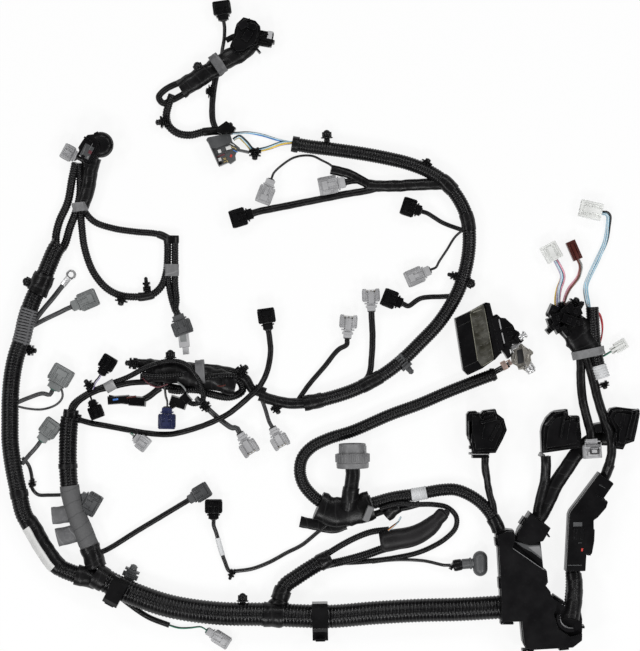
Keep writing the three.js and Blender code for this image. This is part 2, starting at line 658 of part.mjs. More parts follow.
        route: [[174.7, 239], [174.7, 265], [174.7, 285], [176, 300, 1], ...intoPlug(plugs.loop_end_plug)],
      },
      { diameter: 9, route: [[167, 268], [168.5, 285], [171.5, 300, 1], [175, 311, 3]] },
      { diameter: 10, width: 20, route: [[171, 264], [171, 276]] },
    ],
    extras: [
      strapClip({ at: [122, 294], turn: -100, size: [16, 18, 12] }),
      strapClip({ at: [147, 293], turn: 96, size: [22, 11, 11] }),
    ],
  },
  fold_bundle: {
    finish: "tape",
    runs: [
      { diameter: 13, route: [[137, 363.5], [165, 365], [200, 368], [230, 372], [245, 379], [251, 388], [256, 395]] },
      {
        diameter: 11,
        route: [
          [140, 377], [165, 378], [190, 377], [225, 376], [240, 382], [242, 391], [230, 397], [210, 394], [196, 389],
        ],
      },
      { diameter: 24, width: 30, route: [[146, 371], [170, 373], [200, 377], [236, 384]] },
      {
        diameter: 7.5,
        route: [
          [69, 416, 4], [72, 405, 4], [84.4, 395, 2], [105.6, 385.4, 2], [126.7, 377.5, 8], [148, 367, 20], [169, 361, 22],
          [186, 364, 24], [197.5, 377, 24], [203, 392, 16], [202, 401, 4], [193, 404], [182, 398, 2],
        ],
      },
      { diameter: 8, route: [[70, 415, 8], [78, 402, 7], [96, 391, 6], [112, 387, 4], [130, 383, 3], [152, 382, 4]] },
      { diameter: 11, route: [[150, 382], [175, 388], [198, 390]] },
      { diameter: 9, route: [[108, 398, 2], [122, 401], [136, 401.5], [146, 398, 1], [160, 388, 3]] },
      { diameter: 7.5, route: [[196, 398, 4], [203, 404.4, 1], [212, 413], [222, 421.5], [232, 428, 3], ...intoPlug(plugs.pair_plug_1)] },
      { diameter: 4, route: [[92, 390, 9], [96, 381, 7], ...intoPlug(plugs.fold_plug_1)] },
      { diameter: 4, route: [[84, 397, 9], [88, 396, 8], ...intoPlug(plugs.fold_plug_2)] },
      { diameter: 3.5, route: [[164, 380, 8], [166, 398, 8], ...intoPlug(plugs.blue_plug)] },
    ],
    extras: [
      strapClip({ at: [138, 364], turn: 175, size: [18, 16, 16] }),
      pushFastener({ at: [171, 361], turn: 92, lift: 14 }),
      strapClip({ at: [238, 374], turn: 40, size: [17, 17, 20] }),
      strapClip({ at: [203, 403], turn: -60, size: [14, 16, 12] }),
      strapClip({ at: [92, 389], turn: 130, size: [16, 14, 16] }),
    ],
  },
  cross_lead: {
    finish: "tape",
    runs: [
      {
        diameter: 8,
        route: [
          [79, 420, 4], [92, 423.6, 2], [105.6, 426], [126.7, 430], [148, 433.5, 1], [169, 434.5, 2], [190, 430, 3], [211, 422.5, 8],
          [228, 414, 10], [241, 404, 15], [250, 396, 18], [258.5, 388, 15], [266.5, 373, 6], [270.5, 352, 3],
          ...intoPlug(plugs.tall_lead_plug),
        ],
      },
      { diameter: 4, route: [[126, 430, 2], [131, 434, 2], ...intoPlug(plugs.clear_plug)] },
    ],
    extras: [],
  },
  top_bundle: {
    finish: "tape",
    runs: [
      { diameter: 18, width: 26, route: [[252, 40], [243, 50], [230, 58], [217, 66], [200, 77], [180, 89]] },
      {
        diameter: 9,
        route: [
          [214, 66, 2], [198, 72], [181, 81], [165, 89], [158.5, 96.5], [162.5, 102.5], [172, 99.5], [186, 92], [200, 84, 2],
        ],
      },
      {
        diameter: 11,
        route: [[172, 94, 2], [168.4, 104], [166, 116], [169, 126], [178, 133], [190, 134.7], [204, 131.5], [222, 130, 1]],
      },
      { diameter: 8.5, route: [[218, 68, 4], [214.5, 82], [212, 105], [212.6, 120], [217, 132, 1]] },
      { diameter: 5, route: [[221, 62, 8], [222, 50, 3], [224, 38, 2], ...intoPlug(plugs.top_plug)] },
      { diameter: 8, route: [[226, 40, 3], [234, 36, 3], ...intoPlug(plugs.top_side_plug)] },
      { diameter: 4, route: [[222, 132, 6], [234, 133, 8], [248, 132.3, 2], [262, 134.5], [276, 138.6, 2], [290, 142, 5]] },
      {
        diameter: 6,
        route: [[292, 142.6, 8], [281, 143.4, 4], [265, 148.5], [253, 149.5], [246, 142, 2], ...intoPlug(fusePlug)],
      },
    ],
    extras: [
      pushFastener({ at: [201, 72], turn: 120, lift: 3 }),
      strapClip({ at: [170, 121], turn: 185, size: [20, 17, 16] }),
      strapClip({ at: [213.5, 91], turn: 178, size: [11, 19, 12] }),
      strapClip({ at: [255, 148], turn: -92, size: [16, 17, 12] }),
      strapClip({ at: [223, 130.5], turn: 40, size: [16, 14, 13] }),
    ],
  },
};

// Junction box outline on the board, its neck at the top and its foot at the bottom
const boxOutline = [
  [494, 531], [513, 529], [513.5, 540], [541, 545], [542, 568], [545, 570], [545, 582], [548.5, 591.5],
  [553, 594], [562, 603], [574, 603], [580, 611], [582, 624], [579, 641], [571, 647.5], [541, 649.5],
  [528, 649.5], [522, 645], [520, 619.5], [500, 621], [500, 576],
];
const boxNeck = [[526, 512], [548.5, 523], [541, 546], [513.5, 541], [515, 532]];
const boxCoverOutline = [
  [499, 534], [511, 533], [512, 545], [538, 566], [541, 592], [558, 607], [560, 640], [541, 646], [528, 646], [524, 640],
  [522, 616], [503, 617], [503, 576],
];
const boxTabs = [[498, 622], [512, 620.5], [531, 650], [552, 649.5], [543, 575], [583, 627], [499, 580]];

// Channel box outline on the board
const channelOutline = [
  [595.5, 471], [612, 482.5], [603, 497], [605, 500], [603, 510], [592.5, 518], [592.5, 541], [590, 544],
  [590, 553], [585, 555], [584, 570], [564, 570], [566, 552], [568, 510], [573, 501],
];

function junctionBox(cables) {
  const walls = plate(boxOutline, 0, boxBaseHeight, 1);
  const neck = plate(boxNeck, 4, boxBaseHeight - 4);
  const port = placed(rod(26, -6, 10, 18, 16), { at: [566, 614], turn: 82 });
  const tabs = boxTabs.map(([column, row]) => {
    const x = (column - middleColumn) * square;
    const y = (middleRow - row) * square;
    return block([x - 6, y - 3, boxBaseHeight - 14], [x + 6, y + 3, boxBaseHeight - 3]);
  });
  return largest(joined([walls, neck, port, ...tabs]).subtract(cables));
}

function junctionCover(cables) {
  const from = boxBaseHeight + gap;
  const lid = plate(boxCoverOutline, from, from + boxCoverHeight, boxCoverInset);
  const recess = plate([[508, 560], [528, 578], [530, 604], [508, 606]], from + boxCoverHeight - 1.2, from + 50);
  const rib = plate([[507, 547], [511, 546], [538, 569], [535, 571]], from + 2, from + boxCoverHeight + 2);
  return largest(joined([lid.subtract(recess), rib]).subtract(cables));
}

function channelBase(cables) {
  const walls = plate(channelOutline, 0, channelBaseHeight, 0.8);
  const latches = [[567, 520], [568, 545], [592, 530], [603, 505]].map(([column, row]) => {
    const x = (column - middleColumn) * square;
    const y = (middleRow - row) * square;
    return block([x - 3.5, y - 7, 8], [x + 3.5, y + 7, channelBaseHeight - 2]);
  });
  return largest(joined([walls, ...latches]).subtract(cables));
}

function channelCover(cables) {
  const from = channelBaseHeight + gap;
  const outline = [
    [595, 474], [609, 484], [600, 497], [601.5, 501], [600, 508], [590, 516], [589.5, 541], [586, 552],
    [582, 568], [566.5, 568], [568.5, 552], [570.5, 511], [575, 503],
  ];
  const lid = plate(outline, from, from + channelCoverHeight, 1.2);
  const slot = plate([[572, 523], [585, 523], [585, 550], [571, 550]], from + channelCoverHeight - 3, from + 50);
  const window = plate([[574, 527], [580, 527], [580, 537], [574, 537]], from + channelCoverHeight - 3.5, from + channelCoverHeight - 0.5);
  const band = plate([[592, 479], [606, 489], [604, 492], [589, 482.5]], from + 2, from + channelCoverHeight + 1.5);
  return largest(joined([lid.subtract(slot), window, band]).subtract(cables));
}

// Fuse box parts, along a line that leans with the box
const fuseSeat = { at: [473, 336.5], turn: 12 };

function fuseBoxBase() {
  const half = fuseBoxLength / 2;
  const left = -fuseBoxWidth;
  const base = block([left, -half, 0], [fuseWindowWidth, half, fuseBoxHeight - 6]);
  const lid = bar(cutRectangle(fuseBoxLength - 2, 12, 2, fuseBoxHeight - 6), left + 1, -1);
  const lines = [-half + 12, half - 12].map((y) => {
    return block([left + 1, y - 0.8, fuseBoxHeight - 1], [-1, y + 0.8, fuseBoxHeight + 0.8]);
  });
  const end = block([left + 3, -half - 6, 3], [fuseWindowWidth - 6, -half + 1, fuseBoxHeight - 12]);
  return joined([base, lid, ...lines, end]);
}

function fuseBoxWindow() {
  const half = fuseBoxLength / 2;
  const from = fuseBoxHeight - 6 + gap;
  const frame = block([gap, -half, from], [fuseWindowWidth - 1, half, from + 7]);
  const cells = [];
  const pitch = (fuseBoxLength - 8) / 5;
  for (let cell = 0; cell < 5; cell += 1) {
    const y = -half + 5 + cell * pitch;
    cells.push(block([3, y, from + 3], [fuseWindowWidth - 4, y + pitch - 3, from + 20]));
  }
  return frame.subtract(joined(cells));
}

function fuseBoxHolder() {
  const from = fuseWindowWidth + gap;
  const half = fuseBoxLength / 2;
  const rail = block([from, -half + 2, 2], [from + 11, half, fuseBoxHeight + 2]);
  const shell = block([from + 10, -half + 10, 2], [from + 10 + fuseHolderWidth, half - 10, fuseBoxHeight]);
  const groove = block([from + 18, -half + 15, fuseBoxHeight - 2], [from + 20, half - 15, fuseBoxHeight + 1]);
  const hood = turned([[0, 0], [0, 26], [9, 20], [16, 8], [16, 0]], fuseBoxHeight / 2 + 1, 12);
  const hoodCut = hood.intersect(block([0, -24, 2], [30, 24, fuseBoxHeight - 2]));
  const hoodPlaced = hoodCut.translate([from + 10 + fuseHolderWidth - 1, 1, 0]);
  const foot = block([from + 15, -half + 9, 2], [from + 22.5, -half + 22, 20]);
  return joined([rail, shell.subtract(groove), hoodPlaced, foot]);
}

// Battery clamp: split ring with a tapering bore, two jaws, cross stud and wire seat
const clampSeat = { at: [518.5, 356.5], turn: -45 };
const studSeat = { at: [526.4, 364.4], turn: 45 };

function batteryClamp() {
  const outer = solid(new THREE.CylinderGeometry(clampRingWidth / 2, clampRingWidth / 2, clampHeight, 12)
    .rotateX(Math.PI / 2).translate(0, 0, clampHeight / 2 + 4));
  const bore = solid(new THREE.CylinderGeometry(clampPostBore / 2, clampPostBore / 2 + 1, clampHeight + 2, 12)
    .rotateX(Math.PI / 2).translate(0, 0, clampHeight / 2 + 4));
  const split = block([0, -1.5, 0], [40, 1.5, clampHeight + 8]);
  const jaws = block([8, -8, 6], [23, 8, clampHeight + 2]);
  const lugSeat = block([-6, -16, 4], [3, -8, 10]);
  const arm = block([-15, 1, 8], [-8, 9, 16]);
  const turn = studSeat.turn - clampSeat.turn;
  const studHole = rod(studDiameter * 0.6 + 2 * gap, -30, 30, 14, 10).rotate([0, 0, turn]);
  const holes = [bore, split, studHole.translate([studReach, 0, 0])];
  return joined([outer, jaws, lugSeat, arm]).subtract(joined(holes));
}

function clampStud() {
  const shank = rod(studDiameter * 0.6, -13, 15, 14, 10);
  const head = rod(studDiameter * 1.3, -15, -8 - gap, 14, 6);
  const nut = rod(studDiameter * 1.2, 8 + gap, 13, 14, 6);
  return joined([shank, head, nut]);
}

// Copper lug that joins the two bare leads to the clamp
function cableLug(cables) {
  const barrel = block([-5, -6, 6], [2, 6, 17]);
  const tongue = block([1, -4, 10 + gap], [9, 4, 13]);
  return placed(joined([barrel, tongue]), { at: [505.1, 364.9], turn: 28 }).subtract(cables);
}

function ringTerminalSolid() {
  const barrel = rod(9, 0, 13, ringTerminal.height / 2 + 1, 10);
  const centre = 13 + ringDiameter / 2 - 2;
  const low = ringTerminal.height / 2;
  const eye = solid(new THREE.CylinderGeometry(ringDiameter / 2, ringDiameter / 2, ringThickness, 20)
    .rotateX(Math.PI / 2).translate(centre, 0, low + ringThickness / 2));
  const hole = solid(new THREE.CylinderGeometry(ringBore / 2, ringBore / 2, 10, 20)
    .rotateX(Math.PI / 2).translate(centre, 0, low));
  return joined([barrel, eye]).subtract(hole);
}

// Round plug: ribbed coupling ring round a wide oval body with a contact face
function roundPlugSolid({ length, width, height }) {
  const middle = height / 2;
  const circle = (radius, from, to) => rod(2 * radius, from, to, middle, 14);
  const rear = circle(width * 0.36, 0, length * 0.3);
  const body = circle(width / 2 - 1.5, length * 0.25, length * 0.62);
  const face = circle(width * 0.4, length * 0.6, length);
  const faceHollow = circle(width * 0.34, length * 0.7, length + 1);
  const contact = circle(width * 0.24, length * 0.6, length * 0.92);
  const ribs = [];
  const count = 8;
  for (let rib = 0; rib < count; rib += 1) {
    const angle = (360 / count) * rib;
    const one = block([length * 0.27, width / 2 - 3, -1.6], [length * 0.58, width / 2, 1.6]);
    ribs.push(one.rotate([angle, 0, 0]).translate([0, 0, middle]));
  }
  const trimmed = joined([rear, body, face.subtract(faceHollow), contact, ...ribs]);
  return trimmed.intersect(block([-5, -width, 0], [length + 5, width, height]));
}

// Drum connector: deep round hood with a stepped body and a side lever
function drumConnector({ length, width, height }) {
  const middle = height / 2;
  const hood = rod(width, length * 0.42, length, middle, 20);
  const mouth = rod(width - 5, length * 0.72, length + 1, middle, 20);
  const body = bar(cutRectangle(width * 0.86, height * 0.9, 4, middle), 0, length * 0.5);
  const lever = block([2, -width * 0.32, height * 0.9], [length * 0.62, width * 0.32, height + 4]);
  const panel = block([6, -width * 0.2, height + 2], [length * 0.4, width * 0.2, height + 6]);
  const trimmed = hood.subtract(mouth).intersect(block([-5, -width, 0], [length + 5, width, height]));
  return joined([trimmed, body, lever.subtract(panel)]);
}

// Fuse plug: open frame of fuse cells with a raised shoulder
function fusePlugSolid({ length, width, height }) {
  const shell = bar(cutRectangle(width, height, 1.5, height / 2), 0, length);
  const cells = [];
  for (let column = 0; column < 2; column += 1) {
    for (let row = 0; row < 3; row += 1) {
      const x = length * 0.42 + column * 10;
      const y = -width / 2 + 2.5 + row * 9;
      cells.push(block([x, y, height - fuseCellDepth], [x + 8, y + 7, height + 1]));
    }
  }
  const shoulder = block([2, -width / 2 + 1, height - 1], [length * 0.36, width / 2 - 1, height + 3]);
  return joined([shell.subtract(joined(cells)), shoulder]);
}

function teePlugSolid({ length, width, height }) {
  const middle = height / 2;
  const collar = rod(12, 0, 14, middle, 12);
  const stem = bar(cutRectangle(14, 13, 2, middle), 13, length - 10);
  const head = rod(height, -width / 2, width / 2, 0, 12).rotate([0, 0, 90]).translate([length - 8, 0, middle]);
  return joined([collar, stem, head]);
}

// Rubber boot, tapering towards its bent tip
const bootRoute = [[383, 541.5], [395, 539.5], [413, 536], [428, 528], [438, 517.5], [444, 512]];

function rubberBoot(cables) {
  const body = cable({ diameter: 26, width: bootRearDiameter, route: bootRoute.slice(0, 4) });
  const tip = cable({ diameter: bootTipDiameter, route: [[428, 529, 2], [438, 518.5, 2], [444.5, 512.5, 2]] });
  return largest(joined([body, tip]).subtract(cables));
}

// Large clip that wraps a trunk: a band with an open foot
function largeClip({ at, turn, inner, foot }, cables) {
  const outer = inner + 2 * largeClipWall;
  const band = bar(cutRectangle(outer, outer, 5, outer / 2), -largeClipLength / 2, largeClipLength / 2);
  const heel = block([-largeClipLength / 2, -outer / 2 - foot, 0], [largeClipLength / 2, -outer / 2 + 4, outer * 0.4]);
  const hook = block([-largeClipLength / 2 + 4, -outer / 2 - foot, 0], [largeClipLength / 2 - 4, -outer / 2 - foot + 4, outer * 0.66]);
  return largest(placed(joined([band, heel, hook]), { at, turn }).subtract(cables));
}

// Cap over the head of the folded branch
function topCap(cables) {
  const shell = placed(turned([[0, 0], [0, 14], [6, 18], [20, 17], [30, 8], [30, 0]], 14, 12), { at: [236, 44], turn: 58 });
  const above = shell.intersect(block([-1000, -1000, 0], [1000, 1000, 27]));
  const lug = placed(bar(cutRectangle(14, 18, 3, 12), 0, 20), { at: [247, 28], turn: 120 });
  return largest(joined([above, lug]).subtract(cables));
}

const harness = new THREE.Group();
const branches = new THREE.Group();
const housings = new THREE.Group();
harness.add(branches, housings);

function plugSolid(name) {
  const plug = plugs[name];
  if (injectorPlugs.includes(name)) return injectorPlug(plug);
  if (name in cabinPlugs) return cabinPlug({ ...plug, cells: cabinPlugs[name] });
  if (leverPlugs.includes(name)) return leverPlug(plug);
  return sealedPlug(plug);
}

// Plugs that are one solid with the branch that carries them
function carriedPlugs(group) {
  const names = Object.keys(plugs).filter((name) => plugs[name].carrier === group);
  return names.map((name) => placed(plugSolid(name), plugs[name]));
}

// Cables first: each group is cut back from the ones before it
// A fastener or carried plug, larger by the gap on each side
function grown(piece) {
  const { min, max } = piece.boundingBox();
  const middle = [0, 1, 2].map((axis) => (min[axis] + max[axis]) / 2);
  const factor = [0, 1, 2].map((axis) => 1 + (3 * gap) / (max[axis] - min[axis]));
  return piece.translate(middle.map((value) => -value)).scale(factor).translate(middle);
}

const grownCables = [];
const cableSolids = {};
for (const [name, group] of Object.entries(cableGroups)) {
  const fixed = [...group.extras, ...carriedPlugs(name)];
  const whole = joined([...group.runs.map((run) => cable(run)), ...fixed]);
  const cut = grownCables.length > 0 ? whole.subtract(joined(grownCables)) : whole;
  cableSolids[name] = largest(cut);
  grownCables.push(joined([...group.runs.map((run) => cable(run, gap)), ...fixed.map(grown)]));
}
const allCables = joined(grownCables);

function addHousing(name, whole, finish) {
  housings.add(meshOf(name, whole, finishes[finish]));
}

// A housing set at its place, hollowed where leads run in
function addSeated(name, local, piece, finish) {
  const matrix = seat(piece);
  const inverse = matrix.clone().invert();
  const cables = allCables.transform(inverse.elements);
  const mesh = meshOf(name, largest(local.subtract(cables)), finishes[finish]);
  mesh.position.setFromMatrixPosition(matrix);
  mesh.rotation.z = THREE.MathUtils.degToRad(piece.turn);
  housings.add(mesh);
}

for (const [name, group] of Object.entries(cableGroups)) {
  branches.add(meshOf(name, cableSolids[name], finishes[group.finish]));
}

for (const [name, plug] of Object.entries(plugs)) {
  if (!plug.carrier) addSeated(name, plugSolid(name), plug, plug.finish);
}

addSeated("ring_terminal", ringTerminalSolid(), ringTerminal, "tinned");
addSeated("round_plug", roundPlugSolid(roundPlug), roundPlug, "greyPlastic");
addSeated("drum_connector", drumConnector(drum), drum, "blackPlastic");
addSeated("fuse_plug", fusePlugSolid(fusePlug), fusePlug, "darkGreyPlastic");
addSeated("tee_plug", teePlugSolid(teePlug), teePlug, "greyPlastic");
addSeated("fuse_box_base", fuseBoxBase(), fuseSeat, "blackPlastic");
addSeated("fuse_box_window", fuseBoxWindow(), fuseSeat, "clearWindow");
addSeated("fuse_box_holder", fuseBoxHolder(), fuseSeat, "blackPlastic");
addSeated("battery_clamp", batteryClamp(), clampSeat, "clampMetal");
addSeated("clamp_stud", clampStud(), studSeat, "tinned");
addHousing("cable_lug", cableLug(allCables), "copperLug");
addHousing("junction_box_base", junctionBox(allCables), "blackPlastic");
addHousing("junction_box_cover", junctionCover(allCables), "blackPlastic");
addHousing("channel_base", channelBase(allCables), "blackPlastic");
addHousing("channel_cover", channelCover(allCables), "blackPlastic");
addHousing("rubber_boot", rubberBoot(allCables), "rubber");
const clips = [
  { at: [117, 590], turn: -28, inner: mainDiameter, foot: 3 },
  { at: [320, 616], turn: 1, inner: mainDiameter, foot: 14 },
];
clips.forEach((clip, index) => {
  addHousing(`large_clip_${index + 1}`, largeClip(clip, allCables), "blackPlastic");
});
addHousing("top_cap", topCap(allCables), "blackPlastic");

export default harness;
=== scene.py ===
import bisect
import math

import bpy
from mathutils import Matrix, Vector, noise


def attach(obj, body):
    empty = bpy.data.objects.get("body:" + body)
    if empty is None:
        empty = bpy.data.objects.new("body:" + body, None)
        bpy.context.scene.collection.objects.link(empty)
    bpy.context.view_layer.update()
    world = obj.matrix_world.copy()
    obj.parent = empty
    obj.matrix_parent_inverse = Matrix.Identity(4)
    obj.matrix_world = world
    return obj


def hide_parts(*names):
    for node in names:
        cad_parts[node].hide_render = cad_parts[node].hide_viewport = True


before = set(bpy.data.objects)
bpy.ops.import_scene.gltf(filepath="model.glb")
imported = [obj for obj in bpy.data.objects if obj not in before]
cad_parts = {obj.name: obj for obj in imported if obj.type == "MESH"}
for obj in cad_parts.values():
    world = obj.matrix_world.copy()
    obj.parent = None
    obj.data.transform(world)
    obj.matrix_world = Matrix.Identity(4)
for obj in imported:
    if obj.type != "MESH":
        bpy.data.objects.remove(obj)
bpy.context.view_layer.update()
print("harness frame loaded")

# The harness lies on a forming board, as it lies in the photo: one square of the board is 1.35 mm
board = {"square": 0.00135, "middleColumn": 320.4, "middleRow": 325.5}
view = {"lens": 135, "height": 0.87885, "lift": 0.012, "shift": -0.00054}
# Eight small softboxes in a ring, about 45 degrees up, so that flat black tops stay black
ring = {"radius": 1.95, "height": 1.8, "size": 0.5, "powers": [11, 10, 10, 10, 11, 14, 19, 14]}

scene = bpy.context.scene
scene.view_settings.view_transform = "Standard"


def addCamera():
    camera = bpy.data.cameras.new("camera")
    camera.lens = view["lens"]
    camera.sensor_width = 36
    holder = bpy.data.objects.new("camera", camera)
    distance = view["height"] * view["lens"] / 36
    holder.location = (view["shift"], 0, distance + view["lift"])
    scene.collection.objects.link(holder)
    scene.camera = holder


def addLamps():
    for number, power in enumerate(ring["powers"]):
        light = bpy.data.lights.new(f"softbox_{number}", "AREA")
        light.size = ring["size"]
        light.energy = power
        holder = bpy.data.objects.new(light.name, light)
        turn = 2 * math.pi * number / len(ring["powers"])
        holder.location = (ring["radius"] * math.cos(turn), ring["radius"] * math.sin(turn), ring["height"])
        holder.rotation_euler = (-holder.location).to_track_quat("-Z", "Y").to_euler()
        scene.collection.objects.link(holder)


addCamera()
addLamps()


# Shader nodes: a field is a socket that works in sums
class Field:
    def __init__(self, paint, socket):
        self.paint = paint
        self.socket = socket

    def math(self, operation, *terms):
        return self.paint.node("ShaderNodeMath", {"operation": operation}, terms)

    def __add__(self, other):
        return self.math("ADD", self, other)

    def __sub__(self, other):
        return self.math("SUBTRACT", self, other)

    def __rsub__(self, other):
        return self.math("SUBTRACT", other, self)

    def __mul__(self, other):
        return self.math("MULTIPLY", self, other)

    def __truediv__(self, other):
        return self.math("DIVIDE", self, other)

    __radd__ = __add__
    __rmul__ = __mul__

    def wrap(self):
        return self.math("FRACT", self)

    def wave(self):
        return self.math("SINE", self)

    def above(self, low, high):
        ends = {"From Min": low, "From Max": high}
        settings = {"clamp": True, "interpolation_type": "SMOOTHSTEP"}
        return self.paint.node("ShaderNodeMapRange", settings, {"Value": self, **ends})


class Paint:
    def __init__(self, name):
        self.material = bpy.data.materials.new(name)
        self.material.use_nodes = True
        self.tree = self.material.node_tree
        self.shader = self.tree.nodes["Principled BSDF"]

    def node(self, kind, settings=None, inputs=(), output=0):
        made = self.tree.nodes.new(kind)
        for key, value in (settings or {}).items():
            setattr(made, key, value)
        pairs = inputs.items() if isinstance(inputs, dict) else enumerate(inputs)
        for key, value in pairs:
            if isinstance(value, Field):
                self.tree.links.new(value.socket, made.inputs[key])
            else:
                made.inputs[key].default_value = value
        return Field(self, made.outputs[output])

    def blend(self, share, first, second):
        full = [tone if isinstance(tone, Field) else (*tone, 1) for tone in (first, second)]
        inputs = {0: share, 6: full[0], 7: full[1]}
        return self.node("ShaderNodeMix", {"data_type": "RGBA"}, inputs, 2)

    def place(self):
        return self.node("ShaderNodeTexCoord", output="Object")

    def grain(self, scale, detail=3, roughness=0.55):
        inputs = {"Vector": self.place(), "Scale": scale, "Detail": detail, "Roughness": roughness}
        return self.node("ShaderNodeTexNoise", {}, inputs)

    def along(self):
        split = self.node("ShaderNodeSeparateXYZ", {}, [self.node("ShaderNodeUVMap", {"uv_map": "run"})])
        return split, Field(self, split.socket.node.outputs[1])

    def bump(self, height, depth, strength=1.0):
        self.give(
            "Normal",
            self.node("ShaderNodeBump", {}, {"Height": height, "Distance": depth, "Strength": strength})
        )

    def give(self, socket, value):
        if isinstance(value, Field):
            self.tree.links.new(value.socket, self.shader.inputs[socket])
        else:
            self.shader.inputs[socket].default_value = value


def lighter(colour, share):
    return tuple(min(1, tone + (1 - tone) * share) for tone in colour)


def darker(colour, share):
    return tuple(tone * share for tone in colour)


# Moulded plastic: fine grain, faint flow marks, scuffs and a little dust
def moulded(name, colour, roughness=0.38, dust=0.02, coat=0.0, speck=1300, gloss=0.5):
    paint = Paint(name)
    cloud = paint.grain(38, 4)
    scuff = paint.grain(420, 2).above(0.62, 0.74)
    base = paint.blend(cloud.above(0.3, 0.75), darker(colour, 0.8), lighter(colour, dust))
    paint.give("Base Color", paint.blend(scuff * 0.5, base, lighter(colour, dust * 2.4)))
    paint.give("Roughness", cloud * 0.1 + scuff * 0.08 + (roughness - 0.07))
    paint.give("Coat Weight", coat)
    paint.give("Specular IOR Level", gloss)
    paint.bump(paint.grain(speck, 2), 0.00004, 0.3)
    return paint.material


# Corrugated conduit: satin, with rubbed patches here and there; its lighter, glossier copy on the rib
# crests is a painted highlight against the grooves
def ribbed(name, colour, roughness=0.26, gloss=0.15):
    paint = Paint(name)
    split, turn = paint.along()
    cloud = paint.grain(26, 4)
    rub = paint.grain(120, 3).above(0.45, 0.75)
    base = paint.blend(cloud.above(0.35, 0.7), colour, lighter(colour, 0.004))
    paint.give("Base Color", paint.blend(rub * 0.6, base, lighter(colour, 0.008)))
    paint.give("Roughness", cloud * 0.08 + rub * 0.06 + (roughness - 0.05))
    paint.give("Specular IOR Level", gloss)
    seam = (turn * (2 * math.pi) + split * 9).wave() * 0.2
    paint.bump(cloud + seam, 0.00006, 0.2)
    return paint.material


# Wound tape: laps run round the run in a spiral, creased and stuck down by hand; its lap edges and creases
# are painted lighter as a painted sheen
def wound(name, colour, lap=0.013, roughness=0.42, edge=0.05, creases=0.5):
    paint = Paint(name)
    split, turn = paint.along()
    waver = paint.grain(70, 3)
    lapping = (split / lap + turn + waver * 0.35).wrap()
    rim = 1 - lapping.above(0.02, 0.12)
    crease = paint.grain(210, 4, 0.7).above(0.45, 0.68)
    cloud = paint.grain(30, 3)
    base = paint.blend(cloud.above(0.3, 0.7), darker(colour, 0.75), lighter(colour, edge * 0.5))
    # Painted sheen: a light line along each lap edge here, and lighter creases on the next line
    base = paint.blend(rim * 0.7, base, lighter(colour, edge * 2))
    paint.give("Base Color", paint.blend(crease * creases, base, lighter(colour, edge)))
    paint.give("Roughness", cloud * 0.14 + rim * 0.08 + (roughness - 0.08))
    paint.give("Specular IOR Level", 0.2)
    paint.bump(lapping * 0.7 + crease * 0.35 * creases + waver * 0.4, 0.0005, 0.5)
    return paint.material


# Cloth tape: a plain weave over the same laps
def woven(name, colour, lap=0.017, thread=0.0009):
    paint = Paint(name)
    split, turn = paint.along()
    waver = paint.grain(60, 3)
    lapping = (split / lap + turn + waver * 0.4).wrap()
    rim = 1 - lapping.above(0.02, 0.1)
    weave = (split * (2 * math.pi / thread)).wave() * (turn * 120).wave() * 0.5 + 0.5
    fray = paint.grain(520, 4, 0.7)
    base = paint.blend(weave * 0.6 + fray * 0.4, darker(colour, 0.68), lighter(colour, 0.08))
    paint.give("Base Color", paint.blend(rim * 0.6, base, darker(colour, 0.55)))
    paint.give("Roughness", fray * 0.15 + 0.68)
    paint.bump(weave * 0.25 + lapping * 0.8 + waver * 0.5, 0.0007, 0.6)
    return paint.material


# Wire insulation with a thin tracer stripe
def insulation(name, colour, tracer=None, roughness=0.36):
    paint = Paint(name)
    split, turn = paint.along()
    cloud = paint.grain(90, 3)
    base = paint.blend(cloud.above(0.3, 0.7), darker(colour, 0.8), darker(colour, 1.3))
    if tracer:
        stripe = turn.above(0.2, 0.23) * (1 - turn.above(0.33, 0.36))
        base = paint.blend(stripe, base, tracer)
    paint.give("Base Color", base)
    paint.give("Roughness", cloud * 0.15 + (roughness - 0.07))
    paint.bump(paint.grain(700, 2), 0.00005, 0.5)
    return paint.material


# Metal: tarnish in clouds, fine scratches, dull where it was handled
def plated(name, colour, stain, roughness=0.3):
    paint = Paint(name)
    cloud = paint.grain(140, 5, 0.65).above(0.25, 0.75)
    scratch = paint.grain(1500, 3, 0.7)
    paint.give("Base Color", paint.blend(cloud, stain, colour))
    paint.give("Metallic", 1.0)
    paint.give("Roughness", (1 - cloud) * 0.25 + scratch * 0.12 + (roughness - 0.06))
    paint.bump(scratch * 0.6 + cloud * 0.4, 0.00012, 0.6)
    return paint.material


# Smoky window, see-through
def smoky(name, colour, clear=0.55):
    paint = Paint(name)
    cloud = paint.grain(55, 3)
    paint.give("Base Color", paint.blend(cloud.above(0.3, 0.7), darker(colour, 0.7), lighter(colour, 0.1)))
    paint.give("Roughness", cloud * 0.1 + 0.12)
    paint.give("Alpha", cloud * 0.2 + (clear - 0.1))
    paint.give("Coat Weight", 0.6)
    paint.bump(paint.grain(300, 2), 0.00004, 0.4)
    return paint.material


